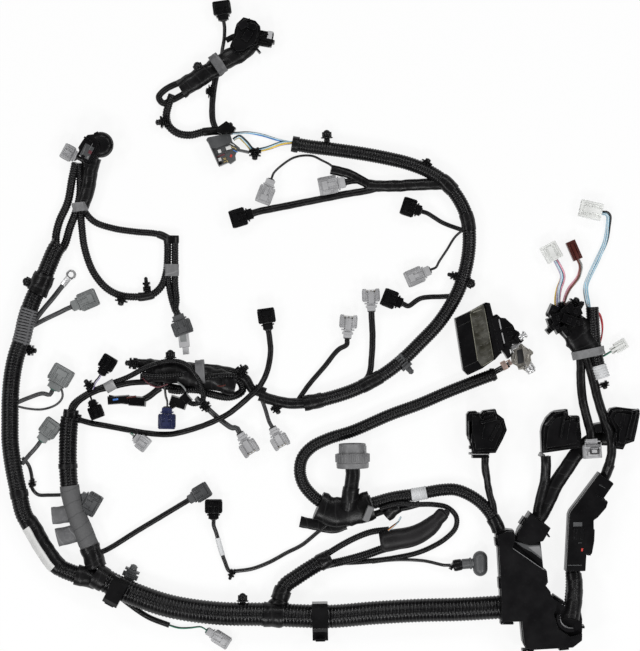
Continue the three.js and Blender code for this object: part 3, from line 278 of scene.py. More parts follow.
black = (0.004, 0.0038, 0.0043)
finishes = {
    "conduit": ribbed("conduit", black, 0.24),
    # Painted highlight: a lighter, glossier copy of the conduit finish for the rib crests
    "ribCrestHighlight": ribbed("conduit rib crests", (0.005, 0.0048, 0.0055), 0.31, 0.4),
    "greyConduit": ribbed("grey wrapped conduit", (0.13, 0.13, 0.135), 0.5),
    "tape": wound("black tape", (0.005, 0.0047, 0.0052), 0.016, 0.32, 0.008),
    "smoothTape": wound("smooth black tape", (0.005, 0.0047, 0.0053), 0.022, 0.34, 0.006, 0.2),
    "greyTape": wound("grey tape", (0.14, 0.14, 0.145), 0.02, 0.5, 0.05),
    "bandTape": wound("band tape", (0.21, 0.21, 0.215), 0.02, 0.4, 0.05),
    "paleTape": wound("pale tape", (0.36, 0.36, 0.365), 0.02, 0.5, 0.06),
    "whiteTape": wound("white tape", (0.66, 0.67, 0.68), 0.02, 0.5, 0.1),
    "greyCloth": woven("grey cloth tape", (0.078, 0.078, 0.081)),
    "sleeve": insulation("grey sleeve", (0.034, 0.034, 0.036), None, 0.36),
    "blackSleeve": insulation("black sleeve", (0.007, 0.0065, 0.007), None, 0.3),
    "label": moulded("blank label", (0.72, 0.72, 0.71), 0.5, 0.05),
    "blackPlastic": moulded("black plastic", (0.0048, 0.0046, 0.0052), 0.3, 0.003, gloss=0.14),
    "boxPlastic": moulded("box plastic", (0.0055, 0.0052, 0.006), 0.34, 0.004, gloss=0.14),
    "midGrey": moulded("mid grey plastic", (0.2, 0.2, 0.205), 0.44, 0.05),
    "darkSeal": moulded("dark seal", (0.014, 0.0135, 0.0145), 0.5, 0.01),
    "clipPlastic": moulded("clip plastic", (0.0045, 0.0043, 0.0048), 0.3, 0.003, gloss=0.25),
    "greyPlastic": moulded("grey plastic", (0.19, 0.2, 0.2), 0.42, 0.05),
    "darkGreyPlastic": moulded("dark grey plastic", (0.062, 0.064, 0.067), 0.42, 0.03),
    "lightPlastic": moulded("light grey plastic", (0.42, 0.42, 0.43), 0.42, 0.08),
    "whitePlastic": moulded("white plastic", (0.85, 0.86, 0.84), 0.36, 0.05),
    "brownPlastic": moulded("brown plastic", (0.085, 0.018, 0.013), 0.34, 0.01, gloss=0.25),
    "bluePlastic": moulded("navy plastic", (0.012, 0.018, 0.075), 0.34, 0.02, 0.2),
    "greenSeal": moulded("green seal", (0.03, 0.14, 0.1), 0.6, 0.03),
    "maroonPanel": moulded("maroon panel", (0.12, 0.02, 0.03), 0.45, 0.03),
    "redDot": moulded("red dot", (0.55, 0.03, 0.02), 0.4, 0.03),
    "rubber": moulded("boot rubber", (0.0085, 0.0075, 0.0085), 0.48, 0.006, 0.0, 600, 0.3),
    "window": smoky("smoky window", (0.055, 0.052, 0.034), 0.5),
    "khaki": moulded("khaki contacts", (0.2, 0.195, 0.15), 0.34, 0.05),
    "clampMetal": plated("worn clamp metal", (0.56, 0.54, 0.5), (0.2, 0.185, 0.16), 0.34),
    "tinned": plated("tinned steel", (0.84, 0.84, 0.85), (0.5, 0.5, 0.5), 0.26),
    "copper": plated("copper lug", (0.88, 0.68, 0.6), (0.66, 0.46, 0.4), 0.32),
    "brass": plated("contact brass", (0.75, 0.62, 0.33), (0.45, 0.34, 0.14), 0.3),
    "bareWire": insulation("black lead", (0.02, 0.02, 0.02), None, 0.2)
}
wireTones = {
    "skyWire": ((0.22, 0.5, 0.66), (0.7, 0.7, 0.7)), "blueWire": ((0.05, 0.17, 0.5), None),
    "yellowWire": ((0.72, 0.5, 0.06), None), "purpleWire": ((0.25, 0.17, 0.42), (0.6, 0.6, 0.6)),
    "whiteWire": ((0.72, 0.72, 0.7), (0.08, 0.08, 0.08)), "brownWire": ((0.16, 0.055, 0.04), None),
    "pinkWire": ((0.62, 0.3, 0.36), None), "greenWire": ((0.03, 0.2, 0.12), None),
    "orangeWire": ((0.75, 0.28, 0.04), None), "redWire": ((0.42, 0.02, 0.03), None),
    "blackWire": ((0.012, 0.012, 0.012), None), "greyWire": ((0.1, 0.1, 0.1), None)
}
for tone, (colour, tracer) in wireTones.items():
    finishes[tone] = insulation(tone, colour, tracer)
print("finishes mixed:", len(finishes))


# Shapes: points, faces, their places along a run, and which finish each face has
class Shape:
    def __init__(self):
        self.points = []
        self.faces = []
        self.runs = []
        self.finishes = []

    def add(self, points, faces, finish=0, matrix=None, runs=None):
        first = len(self.points)
        self.points += [matrix @ Vector(point) if matrix else Vector(point) for point in points]
        self.faces += [[first + corner for corner in face] for face in faces]
        self.runs += runs or [[(0, 0)] * len(face) for face in faces]
        self.finishes += [finish] * len(faces)
        return self

    def box(self, low, high, finish=0, matrix=None, taper=0.0):
        (x0, y0, z0), (x1, y1, z1) = low, high
        t = taper
        points = [(x0, y0, z0), (x1, y0, z0), (x1, y1, z0), (x0, y1, z0)]
        points += [(x0 + t, y0 + t, z1), (x1 - t, y0 + t, z1), (x1 - t, y1 - t, z1), (x0 + t, y1 - t, z1)]
        faces = [(3, 2, 1, 0), (4, 5, 6, 7), (0, 1, 5, 4), (1, 2, 6, 5), (2, 3, 7, 6), (3, 0, 4, 7)]
        return self.add(points, faces, finish, matrix)

    def lathe(self, profile, sides=16, finish=0, matrix=None):
        count = len(profile)
        points = []
        for x, radius in profile:
            for side in range(sides):
                angle = 2 * math.pi * side / sides
                points.append((x, radius * math.cos(angle), radius * math.sin(angle)))
        faces = [list(range(sides))[::-1], list(range((count - 1) * sides, count * sides))]
        for ring in range(count - 1):
            for side in range(sides):
                beside = (side + 1) % sides
                row = ring * sides
                faces.append((row + side, row + beside, row + sides + beside, row + sides + side))
        return self.add(points, faces, finish, matrix)

    def prism(self, outline, low, high, finish=0, matrix=None):
        count = len(outline)
        points = [(x, y, low) for x, y in outline] + [(x, y, high) for x, y in outline]
        faces = [list(range(count))[::-1], list(range(count, 2 * count))]
        for corner in range(count):
            beside = (corner + 1) % count
            faces.append((corner, beside, count + beside, count + corner))
        return self.add(points, faces, finish, matrix)

    def piece(self, name, looks, slot, bevel=0.0, sharp=38, replaces=()):
        mesh = bpy.data.meshes.new(name)
        mesh.from_pydata(self.points, [], self.faces)
        layer = mesh.uv_layers.new(name="run")
        layer.data.foreach_set("uv", [value for face in self.runs for pair in face for value in pair])
        for look in looks:
            mesh.materials.append(finishes[look])
        mesh.polygons.foreach_set("material_index", self.finishes)
        mesh.validate()
        mesh.shade_smooth()
        mesh.set_sharp_from_angle(angle=math.radians(sharp))
        holder = bpy.data.objects.new(name, mesh)
        scene.collection.objects.link(holder)
        if bevel:
            soften(holder, bevel)
        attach(holder, "root")
        if replaces:
            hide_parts(*replaces)
        return holder


def soften(holder, width):
    bevel = holder.modifiers.new("soft edges", "BEVEL")
    bevel.width = width
    bevel.segments = 2
    bevel.limit_method = "ANGLE"
    bevel.angle_limit = math.radians(38)
    bevel.harden_normals = False


# Runs: a smooth line through the board points, and what is swept along it
def boardPoint(point, radius=0.0):
    column, row, *lift = point
    x = (column - board["middleColumn"]) * board["square"]
    y = (board["middleRow"] - row) * board["square"]
    return Vector((x, y, radius + (lift[0] if lift else 0) * 0.001))


class Line:
    def __init__(self, route, radius=0.0):
        knots = [p if isinstance(p, Vector) else boardPoint(p, radius) for p in route]
        ends = [2 * knots[0] - knots[1], *knots, 2 * knots[-1] - knots[-2]]
        self.points = []
        for index in range(len(knots) - 1):
            p0, p1, p2, p3 = ends[index : index + 4]
            d0, d1, d2 = [max((b - a).length ** 0.5, 1e-4) for a, b in ((p0, p1), (p1, p2), (p2, p3))]
            t1, t2, t3 = d0, d0 + d1, d0 + d1 + d2
            steps = max(2, math.ceil((p2 - p1).length / 0.0016))
            for step in range(steps):
                t = t1 + (t2 - t1) * step / steps
                a1 = p0 * ((t1 - t) / t1) + p1 * (t / t1)
                a2 = p1 * ((t2 - t) / (t2 - t1)) + p2 * ((t - t1) / (t2 - t1))
                a3 = p2 * ((t3 - t) / (t3 - t2)) + p3 * ((t - t2) / (t3 - t2))
                b1 = a1 * ((t2 - t) / t2) + a2 * (t / t2)
                b2 = a2 * ((t3 - t) / (t3 - t1)) + a3 * ((t - t1) / (t3 - t1))
                self.points.append(b1 * ((t2 - t) / (t2 - t1)) + b2 * ((t - t1) / (t2 - t1)))
        self.points.append(knots[-1].copy())
        self.marks = [0.0]
        for a, b in zip(self.points, self.points[1:]):
            self.marks.append(self.marks[-1] + (b - a).length)
        self.length = self.marks[-1]

    def spot(self, mark):
        index = min(max(bisect.bisect_right(self.marks, mark) - 1, 0), len(self.points) - 2)
        a, b = self.points[index], self.points[index + 1]
        share = (mark - self.marks[index]) / max(self.marks[index + 1] - self.marks[index], 1e-9)
        return a + (b - a) * share

    def at(self, mark):
        reach = 0.0025
        ahead = self.spot(min(mark + reach, self.length))
        behind = self.spot(max(mark - reach, 0))
        return self.spot(mark), (ahead - behind).normalized()

    def near(self, column, row):
        target = boardPoint((column, row))
        gaps = [(p.xy - target.xy).length for p in self.points]
        return self.marks[gaps.index(min(gaps))]


def evenMarks(low, high, step):
    count = max(2, math.ceil((high - low) / step))
    return [low + (high - low) * index / count for index in range(count + 1)]


# form(mark, angle) gives the reach from the line as a share of the half sizes
def sweep(shape, line, marks, across, upright, form, sides=16, finish=0, ground=0.0002):
    points = []
    for mark in marks:
        middle, ahead = line.at(mark)
        side = ahead.cross(Vector((0, 0, 1))).normalized()
        top = side.cross(ahead)
        for step in range(sides):
            angle = 2 * math.pi * step / sides
            share = form(mark, angle)
            point = middle + side * (across / 2 * share * math.cos(angle))
            point = point + top * (upright / 2 * share * math.sin(angle))
            point.z = max(point.z, ground)
            points.append(point)
    faces, runs = [], []
    for ring in range(len(marks) - 1):
        low, high = marks[ring], marks[ring + 1]
        for step in range(sides):
            beside = (step + 1) % sides
            row = ring * sides
            faces.append((row + beside, row + step, row + sides + step, row + sides + beside))
            v0, v1 = step / sides, (step + 1) / sides
            runs.append([(low, v1), (low, v0), (high, v0), (high, v1)])
    last = (len(marks) - 1) * sides
    for cap in (list(range(sides)), list(range(last, last + sides))[::-1]):
        faces.append(cap)
        runs.append([(0, 0)] * sides)
    return shape.add(points, faces, finish, None, runs)


# One rib, in shares of its pitch: groove, flank, crest, flank; the crest is its third and fourth face
ribShares = (0, 0.34, 0.44, 0.54, 0.68, 0.84)
# How deep the grooves are, in shares of the pitch, by what is ribbed
ribDepths = {"conduit": 0.16, "band": 0.2, "foldLead": 0.21}


def ribMarks(low, high, pitch):
    marks, ribs = [], max(1, round((high - low) / pitch))
    pitch = (high - low) / ribs
    for rib in range(ribs):
        marks += [low + (rib + share) * pitch for share in ribShares]
    return marks + [high], pitch


def ribForm(low, pitch, depth, radius, slit=None):
    def form(mark, angle):
        share = ((mark - low) / pitch + 1e-6) % 1
        sunk = depth if share < 0.4 else 0 if 0.5 < share < 0.75 else depth * 0.14
        if slit is not None and abs((math.degrees(angle) - slit + 180) % 360 - 180) < 9:
            sunk = depth * 1.3
        return 1 - sunk / radius

    return form


def plainForm(mark, angle):
    return 1


# Single wire: a plain tube along its whole line
def tube(shape, line, size, step=0.002, sides=8, finish=0):
    return sweep(shape, line, evenMarks(0, line.length, step), size, size, plainForm, sides, finish)


def tapeForm(seed, roughness, lap=0.014):
    def form(mark, angle):
        wave = noise.noise(Vector((mark * 90, math.cos(angle) * 0.9 + seed, math.sin(angle) * 0.9)))
        step = (mark / lap + angle / (2 * math.pi)) % 1
        return 1 + wave * roughness - 0.03 * step

    return form


# Plug by its rear end: board point, turn, and size as length, width, height. It has a finish here if
# dressPlug fits it out or its CAD node stays; the others are built further on. Its lead goes in at a
# height called entry, shifted by aside, as deep as insert; carrier is the cable that its body is part of
def plugAt(at, turn, size, finish=None, **more):
    return {"at": at, "turn": turn, "size": size, "finish": finish, **more}


plugs = {
    "top_plug": plugAt([223.5, 20], 98, [26, 23, 16], "blackPlastic"),
    "top_side_plug": plugAt([250, 36], -10, [31, 19, 16], "blackPlastic", carrier="top_bundle"),
    "thin_lead_plug": plugAt([271, 179.5], -111, [34, 20, 16], "lightPlastic"),
    "long_lead_plug": plugAt([252.5, 213.3], 197, [31, 23, 18], "blackPlastic"),
    "branch_plug": plugAt([345, 182], 191, [36, 23, 19], "lightPlastic"),
    "inner_plug": plugAt([421, 211], 162, [27, 23, 17], "blackPlastic"),
    "pale_plug": plugAt([430, 270], 203.6, [35, 21, 16], "lightPlastic"),
    "small_lead_plug": plugAt([402, 303.5], 158.5, [28, 23, 16], "blackPlastic"),
    "injector_plug_1": plugAt([371.5, 311], 92, [30, 22.5, 18], "lightPlastic"),
    "injector_plug_2": plugAt([347.3, 337.8], 86, [31, 22.5, 18], "lightPlastic"),
    "white_plug_1": plugAt([602, 212.5], 167, [30, 23, 15], "whitePlastic", insert=2.7),
    "white_plug_2": plugAt([556, 260], 119, [24, 23, 15], "whitePlastic", insert=2.7),
    "brown_plug": plugAt([578.3, 259.5], 113.6, [27, 13, 15], "brownPlastic", insert=2.7),
    "white_plug_3": plugAt([611.5, 351.5], 31, [24, 14, 12], "whitePlastic", carrier="cabin_cable"),
    "tape_end_plug": plugAt([590.4, 438.5], -86, [26, 25, 17], "lightPlastic", lift=13),
    "ear_plug_1": plugAt([72, 306.5], 23, [36, 23, 18], "greyPlastic"),
    "ear_plug_2": plugAt([53, 389], 60, [33, 29, 18], "greyPlastic"),
    "ear_plug_3": plugAt([41, 440.5], 54, [32, 23, 18], "greyPlastic"),
    "oval_plug": plugAt([80, 497.5], -30, [28, 29, 20], "darkGreyPlastic"),
    "strip_lead_plug": plugAt([189, 500], 31, [31, 20, 17], "darkGreyPlastic"),
    "sensor_plug": plugAt([213.5, 519], 90, [26, 22, 16], "blackPlastic"),
    "under_plug": plugAt([207, 631], -32, [35, 16, 14], "lightPlastic"),
    "fold_plug_1": plugAt([101, 374], 59, [27, 20, 16], "blackPlastic", carrier="fold_bundle"),
    "fold_plug_2": plugAt([91.5, 401], -69, [25, 18, 15], "blackPlastic", carrier="fold_bundle"),
    "clear_plug": plugAt([134.5, 437], -38, [22, 19, 14], "lightPlastic", carrier="cross_lead"),
    "blue_plug": plugAt([167, 407.5], -91, [29, 22, 18], "bluePlastic"),
    "pair_plug_1": plugAt([240, 433.5], -58, [33, 22, 18], "lightPlastic"),
    "pair_plug_2": plugAt([272.5, 428], -61, [30, 22, 18], "lightPlastic"),
    "tall_lead_plug": plugAt([268.3, 329.5], 98, [29, 22, 18], "blackPlastic"),
    "loop_end_plug": plugAt([177.5, 315], -70, [28, 25, 18], "darkGreyPlastic"),
    "drum_side_plug": plugAt([76.5, 157], 152, [21, 20, 16], "lightPlastic", carrier="drum_branch"),
    "control_plug_1": plugAt([484.5, 457], 88, [63, 50, 40]),
    "control_plug_2": plugAt([560, 455], 92, [61, 50, 40], aside=20),
    "control_plug_3": plugAt([616, 437], 8, [31, 50, 38], entry=9),
    "ring_terminal": plugAt([62.3, 285.1], 52, [20, 10, 7]),
    "round_plug": plugAt([352.6, 468], 91, [34, 48, 44]),
    "fuse_plug": plugAt([233, 139.5], 212, [36, 31, 20]),
    "tee_plug": plugAt([451, 565.5], 0, [50, 34, 16])
}


def seat(piece):
    lift = Vector((0, 0, piece.get("lift", 0) * 0.001))
    place = Matrix.Translation(boardPoint(piece["at"]) + lift)
    return place @ Matrix.Rotation(math.radians(piece["turn"]), 4, "Z") @ Matrix.Scale(0.001, 4)


def intoPlug(name):
    plug = plugs[name]
    insert = 5 if "carrier" in plug else plug.get("insert", -0.3)
    height = plug.get("entry", plug["size"][2] / 2)
    return [seat(plug) @ Vector((x, plug.get("aside", 0), height)) for x in (-9, insert - 3, insert)]


# A run is laid along board points, each a column, a row and a lift in mm; its sizes are in mm
def laid(look, diameter, *route, **more):
    return {"look": look, "diameter": diameter, "route": route, **more}


# The first run of each cable stands for its CAD node
cables = {}
cables["main_trunk"] = [
    laid(
        "conduit", 32, [504, 606.5], [460, 609], [420, 610], [375, 612.5], [331, 616], [300, 615.5],
        [266, 614], [220, 613], [173, 606.5], [140, 596], [115, 585], [95, 574], pitch=4.7, slit=62
    ),
    laid("conduit", 8, [116, 594, 3], [129, 605], [148, 617.7], [169, 626], pitch=2.3),
    laid(
        "wires", 3.2, [167, 625.2, 2.4], [178, 628.6, 2], [190, 628.5, 3], *intoPlug("under_plug"),
        tones=["greenWire", "greyWire"]
    )
]
cables["left_trunk"] = [
    laid(
        "conduit", 24, [99, 580], [86, 577], [72, 573], [58, 566], [43, 546], [32, 527], [24.2, 514.8],
        [18.2, 490.6], [13.3, 466.4], [10.2, 442], [10, 421.8], [10.3, 398.9], [12.2, 376], [16, 356.8],
        [22.2, 337.7], [27, 317], [33.7, 298], [41, 284], [49, 264.5], [56, 249], [60.3, 243.5], pitch=4.0,
        slit=55
    ),
    laid("sleeve", 7, [31, 326, 8], [40, 313, 3], [53, 297], *intoPlug("ring_terminal")),
    laid("sleeve", 6.5, [32, 326, 4], [45, 319], [60, 312, 3], *intoPlug("ear_plug_1")),
    laid("sleeve", 6, [16, 403, 9], [28, 398, 3], [42, 393.5, 4], *intoPlug("ear_plug_2")),
    laid(
        "sleeve", 3.2, [16, 406, 9], [27, 408.8, 2], [42, 409.5], [56, 404.5], [62, 397, 4], [61, 389, 8],
        [58, 385, 8]
    ),
    laid("sleeve", 6, [22, 464, 8], [28, 456, 3], [34, 449.5, 4], *intoPlug("ear_plug_3")),
    laid(
        "blackSleeve", 5, [22, 458, 4], [28, 466], [31, 478], [31, 488], [37, 495], [48, 495.6], [60, 495.4]
    )
]
cables["centre_trunk"] = [
    laid(
        "conduit", 25, [97, 568], [93.5, 557], [89, 545], [83, 530], [76, 513], [70, 490], [68, 466],
        [68, 445], [69, 425], [70, 417], pitch=4.2, slit=50
    ),
    laid("greyTape", 14, [76, 512, 4], [66, 514.5, 4], [52, 516, 4], lumps=0.1, width=24),
    laid("greyTape", 14, [82, 530, 4], [72, 534, 4], [57, 538, 4], lumps=0.1, width=25),
    laid(
        "smoothTape", 6, [95, 552, 10], [102, 552, 3], [140, 529.5, 2], *intoPlug("strip_lead_plug"),
        lumps=0.03, width=7.4
    ),
    laid("tape", 9, [70, 492, 6], *intoPlug("oval_plug"))
]
cables["upper_trunk"] = [
    laid(
        "conduit", 19, [303.7, 403.5], [326, 399], [354, 390], [382, 375.5], [402, 360.5], [420, 343],
        [438, 324], [451, 305], [460, 287], [467, 263], [469.5, 238], [467.5, 219], [460, 201], [447, 184],
        [430, 172], [409, 163.5], [391, 159], [365, 154], [334, 149.5], [310, 146.5], [292, 143.5],
        pitch=3.6, slit=66
    ),
    laid("tape", 15, [306, 403, 2], [290, 403.5], [272, 400], [259.5, 395.5]),
    laid(
        "smoothTape", 8.5, [360, 386, 5], [369, 375, 2], [372, 355], [372.6, 335, 2],
        *intoPlug("injector_plug_1")
    ),
    laid(
        "smoothTape", 7, [297, 402, 5], [308, 386], [325, 366, 1], [338, 350, 4],
        *intoPlug("injector_plug_2")
    ),
    laid(
        "blackSleeve", 3.4, [466, 228, 8], [456, 236, 2], [447, 250, 1], [439, 262, 4],
        *intoPlug("pale_plug")
    ),
    laid("smoothTape", 6.2, [468, 231, 6], [458, 228.3, 2], [442, 222, 2], *intoPlug("inner_plug")),
    laid("smoothTape", 7, [456, 296, 6], [444, 296.5, 1], [421, 298.3, 2], *intoPlug("small_lead_plug")),
    laid(
        "tape", 12, [447, 184, 2], [430, 184, 2], [404, 185.2], [386, 186], [366, 185], lumps=0.12, width=16
    ),
    laid(
        "smoothTape", 10, [378, 187.5, 1], [366, 190.5], [345, 194], [320, 199], [290, 205],
        *intoPlug("long_lead_plug")
    ),
    laid("tape", 9, [376, 185, 2], [364, 181, 2], *intoPlug("branch_plug")),
    laid("tape", 9, [368, 184, 4], [358, 178.5, 4], [348, 173.5, 6], [331, 169.5, 9], lumps=0.12, width=13),
    laid(
        "blackSleeve", 3.2, [338, 171.5, 12], [330, 164.5, 8], [322, 160, 2], [311.5, 155.3, 1],
        [294.6, 156.8], [280, 166.3, 3], *intoPlug("thin_lead_plug")
    ),
    laid("sleeve", 5.5, [260, 395, 5], [265, 408.7, 3], *intoPlug("pair_plug_2"))
]
cables["box_conduit"] = [
    laid(
        "conduit", 17, [495.8, 373.6], [476, 381], [448, 392], [420, 404], [390, 415], [353, 431],
        [328, 439], [311.5, 447.4], [302.3, 458.2], [299.9, 471.5], [303.2, 483.9], [311.5, 494.7],
        [320.6, 502], [334, 509], pitch=3.6
    ),
    laid("bareWire", 2.8, [488, 374.5, 9], [494, 370.5, 10], [500, 367, 10], [508.5, 362.8, 9]),
    laid("bareWire", 2.8, [490, 377.5, 2], [497, 373, 4], [503, 369.8, 8], [510, 366, 9]),
    laid(
        "tape", 20, [318, 506, 2], [330, 511], [345, 512], [360, 509, 1], [372, 505, 2], lumps=0.2, width=40
    ),
    laid(
        "conduit", 17, [352, 508], [372, 503.5], [393.4, 497.7], [419.3, 494], [442.5, 490], [456, 490],
        [469.3, 495], [481, 503], [489.8, 512.9], [496, 523.6], [499.5, 531.5], pitch=3.6
    ),
    laid("tape", 9, [344.6, 524.5], [362, 519], [386, 511], [404, 508.2, 0], [420, 504, 2]),
    laid(
        "blackSleeve", 5.5, [334, 520, 3], [318, 532.5], [302, 545.5], [286.4, 553.5], [269, 563],
        [251.8, 569.5], [238, 571.5], [229.4, 572], [224.5, 562], [220.5, 550, 1], [216, 533, 3],
        *intoPlug("sensor_plug")
    ),
    laid("tape", 4, [300, 522, 2], [314, 525, 2], [332, 528.5, 2], [346, 525, 5], lumps=0.16, width=15),
    laid("smoothTape", 20, [348, 508, 6], [349.5, 500, 10], [351, 487, 12], *intoPlug("round_plug")),
    laid("tape", 10, [496, 523, 3], [493, 507, 5], [489, 490, 6], *intoPlug("control_plug_1"), lumps=0.2),
    laid("bareWire", 2.8, [489, 376, 5], [495.6, 371.8, 7], [502, 368.4, 9], [509, 364.4, 9])
]
cables["boot_branch"] = [
    laid(
        "conduit", 22, [279, 600, 4], [285, 586, 1], [297, 577], [310, 568.5], [322, 561.5], [331, 557.5],
        pitch=4.2, slit=50
    ),
    laid(
        "conduit", 9, [322, 557, 10], [341.3, 545.3, 6], [358, 537, 3], [372, 532, 4], [389, 529.5, 8],
        pitch=2.6
    ),
    laid(
        "conduit", 12, [320, 566, 5], [345, 561, 1], [366, 555, 2], [381, 549.5, 5], [391, 546.5, 8],
        pitch=3.0
    ),
    laid(
        "conduit", 7.5, [380, 508.5, 11], [391.6, 505, 14], [403, 503.2, 12], [415.7, 504.4, 8],
        [433.6, 504.8, 3], [447.9, 508], [456.5, 517], [456, 528], [446, 539], [430, 548.5], [415.7, 554],
        [397.9, 557.8], [380, 560.5], [350, 563], [326, 562, 4], pitch=2.2
    ),
    laid(
        "blackSleeve", 4.5, [372, 563], [388, 561], [403.2, 560.4], [425, 561.5, 2], *intoPlug("tee_plug")
    ),
    laid("tape", 12, [386, 516, 3], [392, 511, 5], [398, 506, 7], lumps=0.2, width=17)
]
cables["control_leads"] = [
    laid(
        "smoothTape", 10, [537, 527, 4], [538, 512, 4], [541, 497, 5], [545, 480, 7],
        *intoPlug("control_plug_2"), width=14
    ),
    laid(
        "smoothTape", 12, [534, 525, 4], [543, 512], [549, 500], [556, 485], [566, 470], [577, 454],
        [586, 445], [596, 439, 1], [603, 438, 2], *intoPlug("control_plug_3"), lumps=0.05, width=21
    )
]
cables["cabin_cable"] = [
    laid("conduit", 21, [569.5, 617, 4], [572, 600, 1], [573.3, 585], [573, 568], [573, 560], pitch=4.0),
    laid(
        "tape", 15, [573, 570, 3], [574, 545, 3], [576, 520, 3], [586, 500, 3], [598, 487, 3],
        [604, 477, 9], [608.5, 464, 16]
    ),
    laid(
        "tape", 13, [608, 466, 17], [610.5, 450, 20], [609, 433, 18], [604, 420, 12], [598.5, 400, 3],
        [594.5, 384], [590, 366], [583, 345], [576, 330], [570, 320], lumps=0.08
    ),
    laid(
        "smoothTape", 8, [579, 340], [581.4, 361], [581.5, 380], [583, 400, 4], [587.5, 422, 14],
        *intoPlug("tape_end_plug"), width=12.5
    ),
    laid("conduit", 18, [592.5, 307], [593.5, 325], [595, 345], [598, 362], [603, 378], pitch=3.4),
    laid("tape", 22, [560, 312], [570, 322], [580, 336], [586, 352], lumps=0.24, width=40),
    laid(
        "wires", 4, [590, 312, 12], [599, 313, 5], [603, 325, 2], [601, 340, 4], [596, 350, 12],
        tones=["redWire", "redWire"]
    ),
    laid(
        "wires", 6, [590, 312, 6], [588, 303, 4], [586.2, 286.2, 1], [591, 274], [599, 258], [606.2, 242],
        [608.8, 227], *intoPlug("white_plug_1"),
        tones=["skyWire", "skyWire", "whiteWire", "blackWire", "skyWire"], width=7
    ),
    laid(
        "wires", 6, [563, 318, 12], [558, 306, 6], [559, 290.4, 1], [563, 276, 1],
        *intoPlug("white_plug_2"),
        tones=["skyWire", "purpleWire", "yellowWire", "whiteWire", "skyWire", "pinkWire"], width=8
    ),
    laid(
        "wires", 4.5, [566, 318, 12], [564, 304, 6], [569.4, 290, 1], [579, 277, 1],
        *intoPlug("brown_plug"), tones=["brownWire", "pinkWire", "blackWire", "whiteWire"], width=6
    ),
    laid(
        "wires", 3, [595, 359, 10], [604, 356, 4], *intoPlug("white_plug_3"),
        tones=["greenWire", "blackWire"]
    )
]
cables["drum_branch"] = [
    laid("tape", 20, [94.5, 158, 5], [91, 170, 3], [88, 188, 2], [83, 203], [79, 212], lumps=0.08),
    laid("blackSleeve", 6, [84, 176, 6], [85, 165, 8], *intoPlug("drum_side_plug")),
    laid(
        "conduit", 11.5, [75.5, 163, 6], [71.6, 179], [67.3, 202], [59, 221], [55.4, 236], [56, 247.5, 4],
        pitch=3.4
    ),
    laid(
        "conduit", 11.5, [79.5, 163, 4], [80, 179], [79.5, 195], [76, 210], [69.5, 227.3], [65, 243, 2],
        [62, 249, 4], pitch=3.4
    ),
    laid(
        "conduit", 10.5, [80, 205, 4], [81.5, 227.3, 2], [84.2, 248.3], [92.6, 271.5], [105.2, 287.3],
        [118, 294.6], [134.7, 296.8], [151.5, 294.6], [161, 286.2], [166, 272], [167.3, 256], [167.3, 240],
        pitch=3.3
    ),
    laid(
        "conduit", 9.5, [82, 205, 4], [86, 213.6, 1], [94.7, 222], [113.6, 228.3], [134.7, 231.5],
        [157.8, 234], [171, 240, 1], pitch=3.2
    ),
    laid(
        "conduit", 10, [174.7, 239], [174.7, 265], [174.7, 285], [176, 300, 1], *intoPlug("loop_end_plug"),
        pitch=3.3
    ),
    laid("conduit", 9, [167, 268], [168.5, 285], [171.5, 300, 1], [175, 311, 3], pitch=3.2),
    laid("bandTape", 12.5, [171, 264], [171, 276], width=21)
]
cables["fold_bundle"] = [
    laid(
        "tape", 13, [137, 363.5], [165, 365], [200, 368], [230, 372], [245, 379], [251, 388], [256, 395],
        lumps=0.14
    ),
    laid(
        "conduit", 11, [140, 377], [165, 378], [190, 377], [225, 376], [240, 382], [242, 391], [230, 397],
        [210, 394], [196, 389], pitch=3.0
    ),
    laid("tape", 24, [146, 371], [170, 373], [200, 377], [236, 384], lumps=0.3, width=30),
    laid(
        "conduit", 7.5, [69, 416, 4], [72, 405, 4], [84.4, 395, 2], [105.6, 385.4, 2], [126.7, 377.5, 8],
        [148, 367, 20], [169, 361, 22], [186, 364, 24], [197.5, 377, 24], [203, 392, 16], [202, 401, 4],
        [193, 404], [182, 398, 2], pitch=2.4
    ),
    laid(
        "smoothTape", 8, [70, 415, 8], [78, 402, 7], [96, 391, 6], [112, 387, 4], [130, 383, 3],
        [152, 382, 4]
    ),
    laid("conduit", 11, [150, 382], [175, 388], [198, 390], pitch=3.0),
    laid("tape", 9, [108, 398, 2], [122, 401], [136, 401.5], [146, 398, 1], [160, 388, 3], lumps=0.1),
    laid(
        "sleeve", 7.5, [196, 398, 4], [203, 404.4, 1], [212, 413], [222, 421.5], [232, 428, 3],
        *intoPlug("pair_plug_1")
    ),
    laid(
        "wires", 4, [92, 390, 9], [96, 381, 7], *intoPlug("fold_plug_1"),
        tones=["purpleWire", "blackWire", "blueWire"]
    ),
    laid(
        "wires", 4, [84, 397, 9], [88, 396, 8], *intoPlug("fold_plug_2"),
        tones=["blackWire", "blackWire", "greenWire"]
    ),
    laid(
        "wires", 3.5, [164, 380, 8], [166, 398, 8], *intoPlug("blue_plug"), tones=["greyWire", "blackWire"]
    )
]
cables["cross_lead"] = [
    laid(
        "smoothTape", 8, [79, 420, 4], [92, 423.6, 2], [105.6, 426], [126.7, 430], [148, 433.5, 1],
        [169, 434.5, 2], [190, 430, 3], [211, 422.5, 8], [228, 414, 10], [241, 404, 15], [250, 396, 18],
        [258.5, 388, 15], [266.5, 373, 6], [270.5, 352, 3], *intoPlug("tall_lead_plug")
    ),
    laid(
        "wires", 4, [126, 430, 2], [131, 434, 2], *intoPlug("clear_plug"), tones=["whiteWire", "greenWire"]
    )
]
